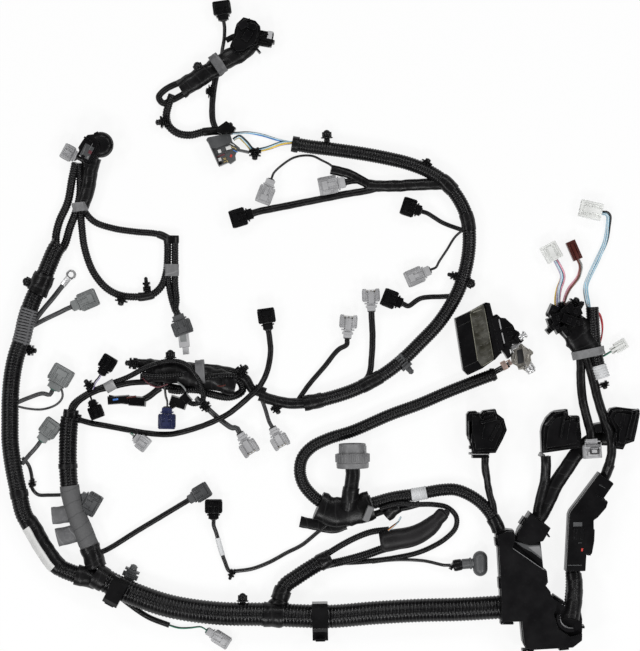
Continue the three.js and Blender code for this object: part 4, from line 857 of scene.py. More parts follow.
cables["top_bundle"] = [
    laid(
        "tape", 18, [252, 40], [243, 50], [230, 58], [217, 66], [200, 77], [180, 89], lumps=0.22, width=26
    ),
    laid(
        "smoothTape", 9, [214, 66, 2], [198, 72], [181, 81], [165, 89], [158.5, 96.5], [162.5, 102.5],
        [172, 99.5], [186, 92], [200, 84, 2]
    ),
    laid(
        "conduit", 11, [172, 94, 2], [168.4, 104], [166, 116], [169, 126], [178, 133], [190, 134.7],
        [204, 131.5], [222, 130, 1], pitch=3.4
    ),
    laid("tape", 8.5, [218, 68, 4], [214.5, 82], [212, 105], [212.6, 120], [217, 132, 1]),
    laid("blackSleeve", 5, [221, 62, 8], [222, 50, 3], [224, 38, 2], *intoPlug("top_plug")),
    laid("tape", 8, [226, 40, 3], [234, 36, 3], *intoPlug("top_side_plug")),
    laid(
        "wires", 4, [222, 132, 6], [234, 133, 8], [248, 132.3, 2], [262, 134.5], [276, 138.6, 2],
        [290, 142, 5], tones=["skyWire", "blackWire", "blueWire"]
    ),
    laid(
        "wires", 6, [292, 142.6, 8], [281, 143.4, 4], [265, 148.5], [253, 149.5], [246, 142, 2],
        *intoPlug("fuse_plug"), tones=["skyWire", "yellowWire", "purpleWire", "whiteWire", "blackWire"]
    )
]

# Clips with a size are strapped on, the others are push fasteners
clips = {
    "main_trunk": [
        {"at": [242.7, 604], "turn": 90, "lift": 9},
        {"at": [128, 580], "turn": 66, "size": [22, 22, 12], "look": "darkGreyPlastic"}
    ],
    "left_trunk": [
        {"at": [33, 284.5], "turn": 155, "lift": 3},
        {"at": [26, 350], "turn": -5, "size": [14, 15, 13]},
        {"at": [31, 487], "turn": 80, "size": [12, 11, 10]}
    ],
    "upper_trunk": [
        {"at": [327, 141], "turn": 92, "lift": 2},
        {"at": [424.5, 167], "turn": 62, "size": [13, 17, 17]},
        {"at": [459, 277], "turn": 165, "size": [16, 12, 14]},
        {"at": [465, 280.5], "turn": -28, "lift": 2},
        {"at": [398, 356], "turn": -50, "size": [31, 17, 20], "look": "darkGreyPlastic"},
        {"at": [274, 405], "turn": -60, "size": [14, 15, 12]}
    ],
    "box_conduit": [{"at": [233, 570], "turn": -110, "size": [15, 10, 8]}],
    "cabin_cable": [
        {"at": [560, 318], "turn": 160, "size": [20, 18, 18]},
        {"at": [572, 308], "turn": 60, "size": [16, 18, 20]},
        {"at": [604, 382], "turn": -75, "size": [10, 14, 14]}
    ],
    "drum_branch": [
        {"at": [122, 294], "turn": -100, "size": [16, 18, 12]},
        {"at": [147, 293], "turn": 96, "size": [22, 11, 11]}
    ],
    "fold_bundle": [
        {"at": [138, 364], "turn": 175, "size": [18, 16, 16]},
        {"at": [171, 361], "turn": 92, "lift": 14},
        {"at": [238, 374], "turn": 40, "size": [17, 17, 20]},
        {"at": [203, 403], "turn": -60, "size": [14, 16, 12]},
        {"at": [92, 389], "turn": 130, "size": [16, 14, 16]}
    ],
    "top_bundle": [
        {"at": [201, 72], "turn": 120, "lift": 3},
        {"at": [170, 121], "turn": 185, "size": [20, 17, 16]},
        {"at": [213.5, 91], "turn": 178, "size": [11, 19, 12]},
        {"at": [255, 148], "turn": -92, "size": [16, 17, 12]},
        {"at": [223, 130.5], "turn": 40, "size": [16, 14, 13]}
    ]
}

# What each run is dressed in: from and to are board points beside the run
bands = {
    ("main_trunk", 0): [
        {"from": (283, 614), "to": (264, 614), "look": "tape", "grow": 1.3, "lumps": 0.05},
        {"from": (106, 580), "to": (95, 574), "look": "tape", "grow": 1.2, "lumps": 0.06}
    ],
    ("left_trunk", 0): [
        {"from": (21, 344), "to": (29, 309), "look": "greyConduit", "grow": 0.5, "ribs": 4.0},
        {"from": (37, 293), "to": (45, 274), "look": "tape", "grow": 2.8, "lumps": 0.12},
        {"from": (20, 497), "to": (18.5, 491), "look": "smoothTape", "grow": 0.9},
        {"from": (96, 580), "to": (76, 575), "look": "tape", "grow": 1.8, "lumps": 0.1},
        {"from": (60, 567), "to": (29, 520), "look": "smoothTape", "grow": 0.6, "lumps": 0.06}
    ],
    ("centre_trunk", 0): [
        {"from": (91, 549), "to": (69.5, 485), "look": "greyCloth", "grow": 0.9, "lumps": 0.03},
        {"from": (97, 567), "to": (89, 546), "look": "tape", "grow": 1.8, "lumps": 0.12},
        {"from": (68, 468), "to": (68, 464), "look": "smoothTape", "grow": 0.7}
    ],
    ("upper_trunk", 0): [
        {"from": (299, 144.5), "to": (292, 143.5), "look": "tape", "grow": 1.6, "lumps": 0.1},
        {"from": (469, 230), "to": (466, 214), "look": "smoothTape", "grow": 0.5},
        {"from": (453, 191), "to": (441, 180), "look": "tape", "grow": 0.8, "lumps": 0.08},
        {"from": (303.7, 403.5), "to": (322, 400), "look": "tape", "grow": 1.0, "lumps": 0.12},
        {"from": (362, 387), "to": (380, 377), "look": "tape", "grow": 0.5, "lumps": 0.06}
    ],
    ("box_conduit", 4): [
        {"from": (411, 495), "to": (427, 492.5), "look": "whiteTape", "grow": 0.7, "ribs": 3.6},
        {"from": (362, 506), "to": (372, 503.5), "look": "greyTape", "grow": 3.2, "lumps": 0.03},
        {"from": (493, 518), "to": (499, 530), "look": "tape", "grow": 1.2, "lumps": 0.08}
    ],
    ("box_conduit", 0): [{"from": (494, 374), "to": (491, 375.5), "look": "smoothTape", "grow": 0.8}],
    ("box_conduit", 6): [{"from": (222.5, 556), "to": (217, 538), "look": "whiteTape", "grow": 0.8}],
    ("box_conduit", 8): [
        {"from": (351, 487), "to": (346, 506), "look": "smoothTape", "grow": 1.6, "lumps": 0.06}
    ],
    ("boot_branch", 0): [
        {"from": (279, 600), "to": (284, 589), "look": "tape", "grow": 1.4, "lumps": 0.1},
        {"from": (319, 563), "to": (331, 557.5), "look": "tape", "grow": 1.0, "lumps": 0.14}
    ],
    ("cabin_cable", 4): [
        {"from": (600, 365), "to": (604, 380), "look": "whiteTape", "grow": 1.4, "ribs": 3.4}
    ],
    ("drum_branch", 4): [
        {"from": (153, 294), "to": (138, 297), "look": "tape", "grow": 0.9, "lumps": 0.06}
    ],
    ("drum_branch", 5): [{"from": (158, 234), "to": (171, 240), "look": "tape", "grow": 0.8, "lumps": 0.1}],
    ("top_bundle", 2): [
        {"from": (203, 131.5), "to": (222, 130), "look": "tape", "grow": 0.4, "lumps": 0.06}
    ]
}
# Short wraps where leads fork or meet, by middle, turn, and size as length, width, height
wraps = {
    "cabin_band": {"at": (588, 353), "turn": -78, "size": (11, 46, 30), "look": "bandTape"},
    "drum_band": {"at": (80, 207), "turn": 97, "size": (12, 21.5, 24), "look": "bandTape"},
    "trunk_top_wrap": {"at": (70.6, 414.6), "turn": 84, "size": (13, 21, 18), "look": "tape"},
    "lead_fork_wrap": {"at": (77, 418.6), "turn": -14, "size": (9, 12, 12), "look": "tape"},
    "fold_fork_wrap": {"at": (259.6, 391.4), "turn": -20, "size": (16, 15, 14), "look": "tape"},
    "branch_root_wrap": {"at": (278.4, 603.4), "turn": 225, "size": (20, 23, 24), "look": "tape"},
    "double_top_wrap": {"at": (171, 239), "turn": 90, "size": (10, 21, 12), "look": "tape"},
    "fold_band": {"at": (200.5, 372), "turn": 4, "size": (12, 34, 31), "look": "greyTape"},
    "fold_small_band": {"at": (110, 386), "turn": 28, "size": (14, 15, 18), "look": "paleTape"},
    "top_band": {"at": (218, 64), "turn": 34, "size": (13, 30, 23), "look": "greyTape"}
}
# Runs listed as cords, with what holds their far end; declareCord walks their path but keeps nothing
cords = dict.fromkeys(
    [
        ("main_trunk", 0), ("left_trunk", 0), ("centre_trunk", 0), ("box_conduit", 0), ("box_conduit", 4),
        ("boot_branch", 3), ("cabin_cable", 2), ("drum_branch", 2), ("drum_branch", 3), ("drum_branch", 4),
        ("drum_branch", 5), ("fold_bundle", 3), ("top_bundle", 1), ("top_bundle", 2), ("top_bundle", 3)
    ],
    "object"
)
cords |= {
    ("centre_trunk", 3): "strip_lead_plug", ("upper_trunk", 0): "bare",
    ("upper_trunk", 2): "injector_plug_1", ("upper_trunk", 3): "injector_plug_2",
    ("upper_trunk", 8): "long_lead_plug", ("box_conduit", 6): "sensor_plug",
    ("control_leads", 1): "control_plug_3", ("cabin_cable", 3): "tape_end_plug",
    ("drum_branch", 6): "loop_end_plug", ("cross_lead", 0): "tall_lead_plug"
}


def sidesFor(size):
    return 28 if size > 20 else 20 if size > 12 else 14 if size > 6 else 10


def addWires(group, index, run, line):
    tones = run["tones"]
    count = len(tones)
    across = run.get("width", run["diameter"]) * 0.001
    radius = min(0.0014, across / (2 + 0.6 * count) if count > 2 else across / 3.6)
    shape = Shape()
    for wire in range(count):
        phase = 2 * math.pi * wire / count + 0.5
        points = []
        for mark in evenMarks(0, line.length, 0.005):
            middle, ahead = line.at(mark)
            side = ahead.cross(Vector((0, 0, 1))).normalized()
            top = side.cross(ahead)
            inside = min(mark, line.length - mark) / 0.012
            room = (across / 2 - radius) * (0.62 + 0.38 * min(inside, 1))
            turn = phase + mark * (16 if wire % 2 else 21)
            drift = noise.noise(Vector((mark * 30, wire * 3.1, index))) * 0.0009 * min(inside, 1)
            point = middle + side * (room * math.cos(turn) + drift) + top * room * 0.8 * math.sin(turn)
            point.z = max(point.z, radius + 0.0003)
            points.append(point)
        tube(shape, Line(points), 2 * radius, 0.003, finish=wire)
    return shape.piece(f"{group}_wires_{index}", tones, cableSlots[group], sharp=60)


# Painted highlight: the crest of each rib takes a lighter, glossier finish than the groove beside it
def paintCrestHighlights(shape, marks, sides):
    for rib in range(2, len(marks) - 1, len(ribShares)):
        shape.finishes[rib * sides:(rib + 2) * sides] = [1] * (2 * sides)


def addRun(group, index, run):
    size = run["diameter"]
    across, upright = run.get("width", size) * 0.001, size * 0.001
    line = Line(run["route"], upright / 2)
    lines[group, index] = line
    if run["look"] == "wires":
        return addWires(group, index, run, line)
    sides = sidesFor(max(across, upright) * 1000)
    if run["look"] == "conduit":
        marks, pitch = ribMarks(0, line.length, run["pitch"] * 0.001)
        form = ribForm(0, pitch, pitch * ribDepths["conduit"], upright / 2, run.get("slit"))
    elif "leeve" in run["look"] or "Wire" in run["look"]:
        marks = evenMarks(0, line.length, max(0.003, across * 0.5))
        form = plainForm
    else:
        marks = evenMarks(0, line.length, max(0.0016, across * 0.16))
        form = tapeForm(index * 7.3 + len(group), run.get("lumps", 0.05))
    shape = sweep(Shape(), line, marks, across, upright, form, sides)
    if run["look"] == "conduit":
        paintCrestHighlights(shape, marks, sides)
    name = f"{group}_run_{index}"
    made = shape.piece(name, [run["look"], "ribCrestHighlight"], cableSlots[group], sharp=50)
    if (group, index) in cords:
        declareCord(line, marks, cords[group, index])
    return made


def declareCord(line, marks, end):
    path = [line.at(mark)[0] for mark in marks]
    end in ("object", "bare")


cableSlots = dict.fromkeys(cables, "conduit")
for group in ("centre_trunk", "control_leads", "cabin_cable", "fold_bundle", "cross_lead", "top_bundle"):
    cableSlots[group] = "tape"
lines = {}
for group, runs in cables.items():
    made = [addRun(group, index, run) for index, run in enumerate(runs)]
    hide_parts(group)
print("runs laid:", len(lines))


def addBand(number, group, index, band):
    run, line = cables[group][index], lines[group, index]
    low, high = sorted((line.near(*band["from"]), line.near(*band["to"])))
    grow = 2 * band["grow"] * 0.001
    across = run.get("width", run["diameter"]) * 0.001 + grow
    upright = run["diameter"] * 0.001 + grow
    if "ribs" in band:
        marks, pitch = ribMarks(low, high, band["ribs"] * 0.001)
        form = ribForm(low, pitch, pitch * ribDepths["band"], upright / 2)
    else:
        marks = evenMarks(low, high, 0.0016)
        form = tapeForm(number * 3.7, band.get("lumps", 0.03))
    shape = sweep(Shape(), line, marks, across, upright, form, sidesFor(across * 1000))
    return shape.piece(f"{group}_band_{number}", [band["look"]], "tape", sharp=50)


def addWrap(name, wrap):
    length, across, upright = [size * 0.001 for size in wrap["size"]]
    middle = boardPoint(wrap["at"], upright / 2)
    turn = math.radians(wrap["turn"])
    step = Vector((math.cos(turn), math.sin(turn), 0)) * length / 2
    line = Line([middle - step, middle, middle + step])
    form = tapeForm(len(name), 0.06)
    shape = sweep(Shape(), line, evenMarks(0, length, 0.0015), across, upright, form, 28)
    return shape.piece(name, [wrap["look"]], "tape", sharp=50)


bandCount = 0
for (group, index), fitted in bands.items():
    for band in fitted:
        addBand(bandCount, group, index, band)
        bandCount += 1
for name, wrap in wraps.items():
    addWrap(name, wrap)
print("tape wound:", bandCount + len(wraps))


# Outline on the board, drawn in towards its middle by an inset in photo pixels
def drawnIn(outline, inset=0.0):
    middle = sum((Vector(point) for point in outline), Vector((0, 0))) / len(outline)
    flat = []
    for point in outline:
        away = Vector(point) - middle
        away *= max(0.1, 1 - inset / max(away.length, 0.01))
        spot = boardPoint(middle + away) * 1000
        flat.append((spot.x, spot.y))
    area = sum(a[0] * b[1] - a[1] * b[0] for a, b in zip(flat, flat[1:] + flat[:1]))
    return flat if area > 0 else flat[::-1]


millimetres = Matrix.Scale(0.001, 4)


# Stack of plates on one board outline: (low, high, inset, finish) each
def stack(shape, outline, plates):
    for low, high, inset, finish in plates:
        shape.prism(drawnIn(outline, inset), low, high, finish, millimetres)
    return shape


# Block on the board: column, row, turn, length, width, low, high, finish, taper
def block(shape, column, row, turn, length, width, low, high, finish=0, taper=0.3):
    place = seat({"at": [column, row], "turn": turn})
    shape.box((-length / 2, -width / 2, low), (length / 2, width / 2, high), finish, place, taper)


def blocks(shape, specs):
    for spec in specs:
        block(shape, *spec)


# Fasteners with a ribbed dome, and strap clips
def addFastener(name, clip):
    place = seat(clip) @ Matrix.Translation((0, 0, 7))
    shape = Shape()
    shape.lathe(
        [(-2, 3.5), (0, 4.2), (3.4, 3.8), (3.8, 7.8), (4.8, 8.4), (5.4, 7.6), (5.8, 4)], 20, 0, place
    )
    shape.lathe([(5, 4.6), (6, 5.4), (9, 5.8), (12, 5), (14.4, 3.2), (15.4, 0.6)], 20, 0, place)
    for rib in range(8):
        around = place @ Matrix.Rotation(math.pi * rib / 4, 4, "X")
        shape.box((5.6, 4, -0.7), (12.4, 6.5, 0.7), 0, around, 0.4)
    return shape.piece(name, ["clipPlastic"], "black_plastic", bevel=0.0002)


def addStrapClip(name, clip):
    length, width, height = clip["size"]
    place = seat(clip)
    half = width / 2
    shape = Shape()
    shape.box((0, -half * 0.7, 0.5), (length * 0.6, half * 0.7, height * 0.86), 0, place, 0.6)
    shape.box((length * 0.1, -half, height * 0.24), (length * 0.42, half, height * 0.72), 0, place, 0.5)
    shape.box(
        (length * 0.52, -half * 0.95, 0.4), (length * 0.68, half * 0.95, height * 0.94), 0, place, 0.4
    )
    shape.lathe(
        [
            (length * 0.66, half * 0.42), (length * 0.72, half * 0.5), (length * 0.86, half * 0.42),
            (length * 0.9, half * 0.52), (length, half * 0.2)
        ],
        10, 0, place @ Matrix.Translation((0, 0, height * 0.48))
    )
    for ridge in range(3):
        x = length * (0.14 + 0.13 * ridge)
        shape.box((x, -half * 0.55, height * 0.84), (x + length * 0.06, half * 0.55, height), 0, place, 0.2)
    shape.box((-1.5, half * 0.2, height * 0.3), (length * 0.3, half * 0.62, height * 0.98), 0, place, 0.3)
    return shape.piece(name, [clip.get("look", "clipPlastic")], "black_plastic", bevel=0.00035)


for group, fitted in clips.items():
    for number, clip in enumerate(fitted):
        add = addStrapClip if "size" in clip else addFastener
        add(f"{group}_clip_{number}", clip)
print("clips fitted")


# CAD nodes that stay: a finish and soft edges for each
carried = {
    "tinned": ["ring_terminal"], "copper": ["cable_lug"], "clipPlastic": ["large_clip_1", "large_clip_2"]
}
for name, plug in plugs.items():
    if plug["finish"] and "carrier" not in plug:
        carried.setdefault(plug["finish"], []).append(name)


def refinish(node, look):
    holder = bpy.data.objects[node]
    for place in holder.material_slots:
        place.material = finishes[look]
    weld = holder.modifiers.new("weld", "WELD")
    weld.merge_threshold = 0.00002
    soften(holder, 0.0005)


for look, nodes in carried.items():
    for node in nodes:
        refinish(node, look)
print("CAD nodes finished")

plugSlots = {
    "blackPlastic": "black_plastic", "lightPlastic": "light_plastic", "whitePlastic": "white_plastic",
    "brownPlastic": "brown_plastic", "greyPlastic": "grey_plastic", "darkGreyPlastic": "dark_grey_plastic",
    "bluePlastic": "blue_plastic"
}
cabinNames = ("white_plug_1", "white_plug_2", "white_plug_3", "brown_plug")
injectorNames = ("injector_plug_1", "injector_plug_2", "pair_plug_1", "pair_plug_2")
seals = {
    "ear_plug_2": "greenSeal", "ear_plug_3": "greenSeal", "under_plug": "greenSeal", "blue_plug": "darkSeal"
}


# Body of a plug that its cable carries, as the CAD draws it
def plugBody(shape, plug, place):
    length, width, height = plug["size"]
    tail, side, wall = length * 0.3, width / 2, 1.8
    shape.box((0, -width * 0.31, height * 0.14), (tail + 1, width * 0.31, height * 0.86), 0, place)
    for y in (-side, side - wall):
        shape.box((tail, y, 0.4), (length, y + wall, height - 0.4), 0, place)
    for z in (0, height - wall):
        shape.box((tail, -side + 0.4, z), (length, side - 0.4, z + wall), 0, place)
    shape.box((tail, -side + 1, 1), (length * 0.6, side - 1, height - 1), 0, place)
    inner = side - wall - 2.6
    shape.box((length * 0.55, -inner, wall + 2.6), (length - 2, inner, height - wall - 2.6), 0, place)


# Latch, guard rails, lip, rear collar, side rails, seal and contacts
def dressPlug(name, plug):
    place = seat(plug)
    length, width, height = plug["size"]
    side, middle = width / 2, height / 2
    cabin, injector = name in cabinNames, name in injectorNames
    tail = 0 if cabin else length * (0.42 if injector else 0.3)
    shape = Shape()
    if "carrier" in plug:
        plugBody(shape, plug, place)
    for y in (-1, 1):
        rail = y * width * 0.3
        shape.box(
            (tail + 1, rail - 0.7, height - 0.5), (length * 0.9, rail + 0.7, height + 1.5), 0, place, 0.15
        )
        if not cabin:
            for z in (0.22, 0.62):
                low, high = sorted((y * (side - 0.4), y * (side + 0.8)))
                shape.box((tail + 1.5, low, height * z), (length - 3, high, height * (z + 0.14)), 0, place)
    shape.box(
        (tail + 0.5, -width * 0.13, height), (length * 0.78, width * 0.13, height + 1.7), 0, place, 0.3
    )
    shape.box(
        (length * 0.76, -width * 0.17, height), (length * 0.86, width * 0.17, height + 2.1), 0, place, 0.4
    )
    for step in range(3):
        x = tail + 1.6 + step * 1.7
        shape.box((x, -width * 0.12, height + 1.4), (x + 0.8, width * 0.12, height + 2.1), 0, place)
    lip = 0.5
    if not cabin:
        for x in (length - 2.6, length * 0.5):
            shape.box((x, -side - lip, 0.3), (x + 1.3, -side + 1, height - 0.2), 0, place)
            shape.box((x, side - 1, 0.3), (x + 1.3, side + lip, height - 0.2), 0, place)
            shape.box((x, -side, height - 1), (x + 1.3, side, height + lip), 0, place)
        wide, tall = width * 0.4, height * 0.4
        shape.box((tail - 3.4, -wide, middle - tall), (tail - 1.2, wide, middle + tall), 0, place, 0.2)
        radius = min(width, height) * 0.3
        seal = [
            (-1.6, radius * 0.7), (-1, radius), (0, radius), (0.4, radius * 0.8), (1, radius), (2.4, radius)
        ]
        shape.lathe(seal, 16, 1, place @ Matrix.Translation((0, 0, middle)))
    else:
        for step in range(4):
            y = -side + 2.2 + step * (width - 4.4) / 3
            shape.box(
                (length * 0.3, y - 0.35, height - 0.3), (length * 0.96, y + 0.35, height + 0.35), 0, place
            )
    pins = 2 if width < 21 else 3
    for pin in range(pins):
        y = (pin - (pins - 1) / 2) * width * 0.22
        shape.box((length - 5, y - 1.1, middle + 0.4), (length - 1.2, y + 1.1, middle + 1.2), 2, place)
    looks = [plug["finish"], seals.get(name, "darkSeal"), "brass"]
    return shape.piece(f"{name}_fittings", looks, plugSlots[plug["finish"]], bevel=0.00025)


for name, plug in plugs.items():
    if plug["finish"] and name != "tape_end_plug":
        dressPlug(name, plug)
print("plugs fitted out")


# Control unit plugs: lumpy hoods, stepped up in plates, with a pale ring where the wires go in
controlPlugs = {
    "control_plug_1": {
        "outline": [
            (465.7, 435), (465.5, 414), (467.8, 410.8), (475.2, 410.1), (479, 413.5), (482.5, 409.7),
            (495.2, 408.2), (497, 413), (503.7, 418.2), (506.8, 429.8), (502.6, 439.3), (495.2, 453),
            (472, 454), (468.8, 442.4)
        ],
        "plates": [(3, 26, 0.6, 0), (1, 16, 2.5, 0), (26, 34, 2.5, 0), (34, 40, 6, 0)],
        "blocks": [
            (473.5, 429, 2, 19, 27, 20, 34, 1, 2), (474, 437, 2, 12, 14, 24, 38, 0, 1),
            (487, 420, 14, 26, 8, 30, 43, 0, 2), (493, 432, 62, 28, 9, 28, 42, 0, 2),
            (485, 441, -8, 18, 10, 26, 39, 0, 1.5), (475, 415, 8, 12, 8, 22, 37, 0, 1),
            (490, 412.5, 4, 12, 6, 24, 38, 0, 1), (498, 424, 70, 14, 6, 24, 36, 0, 1),
            (482, 430, 80, 24, 3, 30, 41, 0, 0.5), (487.6, 448, 12, 14, 6, 20, 32, 0, 1),
            (472, 447, 0, 10, 5, 18, 30, 0, 0.6), (495, 443, 50, 14, 4, 20, 32, 0, 0.6)
        ],
        "ring": (479.2, 453.6, 0, 28, 3.4), "collar": (480.5, 456.6, 0, 24, 5), "height": 24
    },
    "control_plug_2": {
        "outline": [
            (539.5, 431.9), (540.6, 425.6), (544.8, 417.1), (550.1, 411.8), (554.3, 409.7), (567, 408.2),
            (568, 415), (578.6, 415), (581, 434), (580.7, 447.7), (540.6, 453.4)
        ],
        "plates": [(3, 25, 0.6, 0), (1, 18, 2, 0), (25, 33, 3, 0), (33, 38, 7, 0)],
        "blocks": [
            (551, 437, 83, 24, 18, 22, 35, 1, 2), (561, 424, 80, 36, 5, 30, 42, 0, 1),
            (567, 428, 80, 34, 4, 26, 39, 0, 1), (573, 430, 80, 26, 9, 24, 36, 0, 1.5),
            (549, 421, 50, 18, 8, 22, 37, 0, 2), (571, 441, 10, 20, 5, 20, 34, 0, 1),
            (559, 411.8, 6, 16, 5, 20, 36, 0, 1), (557, 447.5, 8, 30, 3, 22, 34, 0, 0.6),
            (576, 419, 4, 8, 8, 18, 33, 0, 1)
        ],
        "ring": (542, 455.4, -28, 9, 6), "collar": (545.6, 457.6, 8, 12, 4), "height": 16
    },
    "control_plug_3": {
        "outline": [
            (605, 415), (609.2, 407.6), (615.5, 406.1), (632.4, 408.2), (637.2, 408.4), (639.4, 412.6),
            (636.2, 430), (633.4, 441.5), (624.5, 444.5), (621.9, 449.8), (613.4, 448.8), (611, 430)
        ],
        "plates": [(3, 25, 0.6, 0), (1, 18, 2, 0), (25, 33, 3, 0), (33, 37, 7, 0)],
        "blocks": [
            (631, 424, 76, 40, 4, 24, 38, 0, 1), (627, 424, 76, 36, 3, 26, 40, 0, 0.6),
            (620, 421, 76, 26, 9, 24, 38, 0, 2), (634, 411, 10, 12, 6, 18, 34, 0, 1),
            (613, 437, 76, 16, 6, 22, 35, 0, 1), (624, 439, -10, 14, 5, 20, 34, 0, 1),
            (618, 445.5, 0, 10, 5, 16, 28, 0, 1), (597.6, 428, 10, 13, 15, 6, 22, 0, 1.5),
            (604.6, 430, 0, 8, 10, 6, 20, 0, 1), (616, 410.6, 4, 16, 4, 20, 34, 0, 0.8)
        ]
    }
}


def addControlPlug(name, plug):
    shape = stack(Shape(), plug["outline"], plug["plates"])
    blocks(shape, plug["blocks"])
    for part, finish in (("ring", 2), ("collar", 0)):
        if part in plug:
            column, row, turn, length, width = plug[part]
            block(shape, column, row, turn, length, width, 3, plug["height"] + 2 * finish, finish, 1)
    shape.piece(
        f"{name}_body", ["blackPlastic", "boxPlastic", "paleTape"], "black_plastic", bevel=0.0009,
        replaces=(name,)
    )


for name, plug in controlPlugs.items():
    addControlPlug(name, plug)


# Fuse box: body, window and holder
def addFuseBox():
    looks = ["blackPlastic", "boxPlastic", "clipPlastic", "khaki", "label", "darkSeal"]
    base = stack(
        Shape(),
        [
            (454.2, 318.4), (468.6, 311.6), (485, 302.5), (489, 303.1), (492.2, 315.7), (499.2, 353.8),
            (494.1, 359.5), (492, 360.6), (481.4, 368.2), (467, 374.9), (462.4, 370.1)
        ],
        [(0, 31, 0, 0)]
    )
    stack(
        base, [(454.4, 318.6), (468.8, 311.8), (481, 367.8), (467.2, 374.4), (462.6, 369.8)],
        [(31, 34.6, 0.6, 0)]
    )
    stack(base, [(484.2, 305), (488.6, 303.8), (498.6, 353.4), (494, 358.6)], [(31, 34.6, 0.4, 0)])
    blocks(
        base, [(462.6, 324.1, 25.6, 18, 0.7, 34, 34.9, 5, 0), (470.1, 363.7, 25, 20, 0.7, 34, 34.9, 5, 0)]
    )
    for row in range(7):
        share = (row + 0.5) / 7
        column, line = 475.6 + 11.4 * share, 312.6 + 46.4 * share
        wide = (15, 13, 17, 16, 12, 17, 15)[row]
        block(
            base, column, line, 25 + row % 3 * 3, wide, (1.6, 3.2, 4.6, 4.2, 2.2, 4.4, 3.4)[row], 26,
            32.5 + row % 2, 3, 0.3
        )
        for side in (-1, 1):
            block(
                base, column + side * (2.2 + row % 3), line + 1.8 - side, 25 + side * 20, 4.2, 1.2, 28,
                34.4, 4, 0.1
            )
    base.piece("fuse_box_body", looks, "black_plastic", bevel=0.0005, replaces=("fuse_box_base",))
    window = stack(
        Shape(),
        [(468.6, 311.5), (481.6, 304.2), (483, 306.8), (492.6, 359.4), (480.7, 366.5), (476.9, 360.9)],
        [(34.7, 35.8, 0, 0)]
    )
    blocks(
        window,
        [
            (472.9, 337.2, -81, 64, 1.3, 34.6, 36.4, 1, 0.2),
            (487.6, 333, -79.5, 66, 1.0, 34.6, 36.2, 1, 0.2),
            (475.4, 308.6, 29, 18, 1.5, 34.6, 36.4, 1, 0.2), (476.3, 311, 20, 12, 1.2, 35.4, 36.2, 1, 0.1),
            (486.4, 362.8, 32, 15, 1.4, 34.6, 36.2, 1, 0.2)
        ]
    )
    window.piece(
        "fuse_box_pane", ["window", "khaki"], "clear_window", bevel=0.0002, replaces=("fuse_box_window",)
    )
    holder = stack(
        Shape(),
        [
            (488, 318), (492.2, 316.1), (496, 314.2), (499.8, 317.7), (504.3, 318.1), (512, 325.1),
            (513.9, 329.5), (517.7, 331.5), (522.8, 340.4), (520.3, 342.9), (511.3, 344.2), (508.8, 349.3),
            (510.1, 356.3), (506.9, 358.9), (504.3, 354.4), (500.5, 350), (499.2, 353.8), (494.1, 359.5)
        ],
        [(2, 30, 0, 0)]
    )
    stack(
        holder,
        [
            (496, 315.5), (499.8, 318.4), (504.3, 319), (511, 325.6), (513, 332), (508, 345), (503.8, 347),
            (499, 333)
        ],
        [(30, 34, 0.4, 0)]
    )
    stack(holder, [(489.6, 318.4), (496, 316.6), (502.6, 349), (497.4, 352.6)], [(30, 35, 0.4, 1)])
    blocks(
        holder,
        [
            (498.8, 324.3, -78, 14, 1.9, 34, 36, 3, 0.2), (501.9, 338, -77, 15, 1.9, 34, 36, 3, 0.2),
            (500, 331, 0, 4, 3, 33, 36, 0, 0.6)
        ]
    )
    for step in range(4):
        block(holder, 507.5 + step * 0.8, 327 + step * 4.6, 10, 10 - step, 1.4, 33.4, 35.4, 0, 0.3)
        block(holder, 491.6 + step * 2.4, 322.6 + step * 9.4, 20, 3, 8, 34.4, 35.6, 0, 0.3)
    block(holder, 516.8, 337.4, 50, 10, 9, 28, 33, 0, 1)
    holder.piece(
        "fuse_holder_body", ["blackPlastic", "boxPlastic", "tinned", "paleTape"], "black_plastic",
        bevel=0.0006, replaces=("fuse_box_holder",)
    )


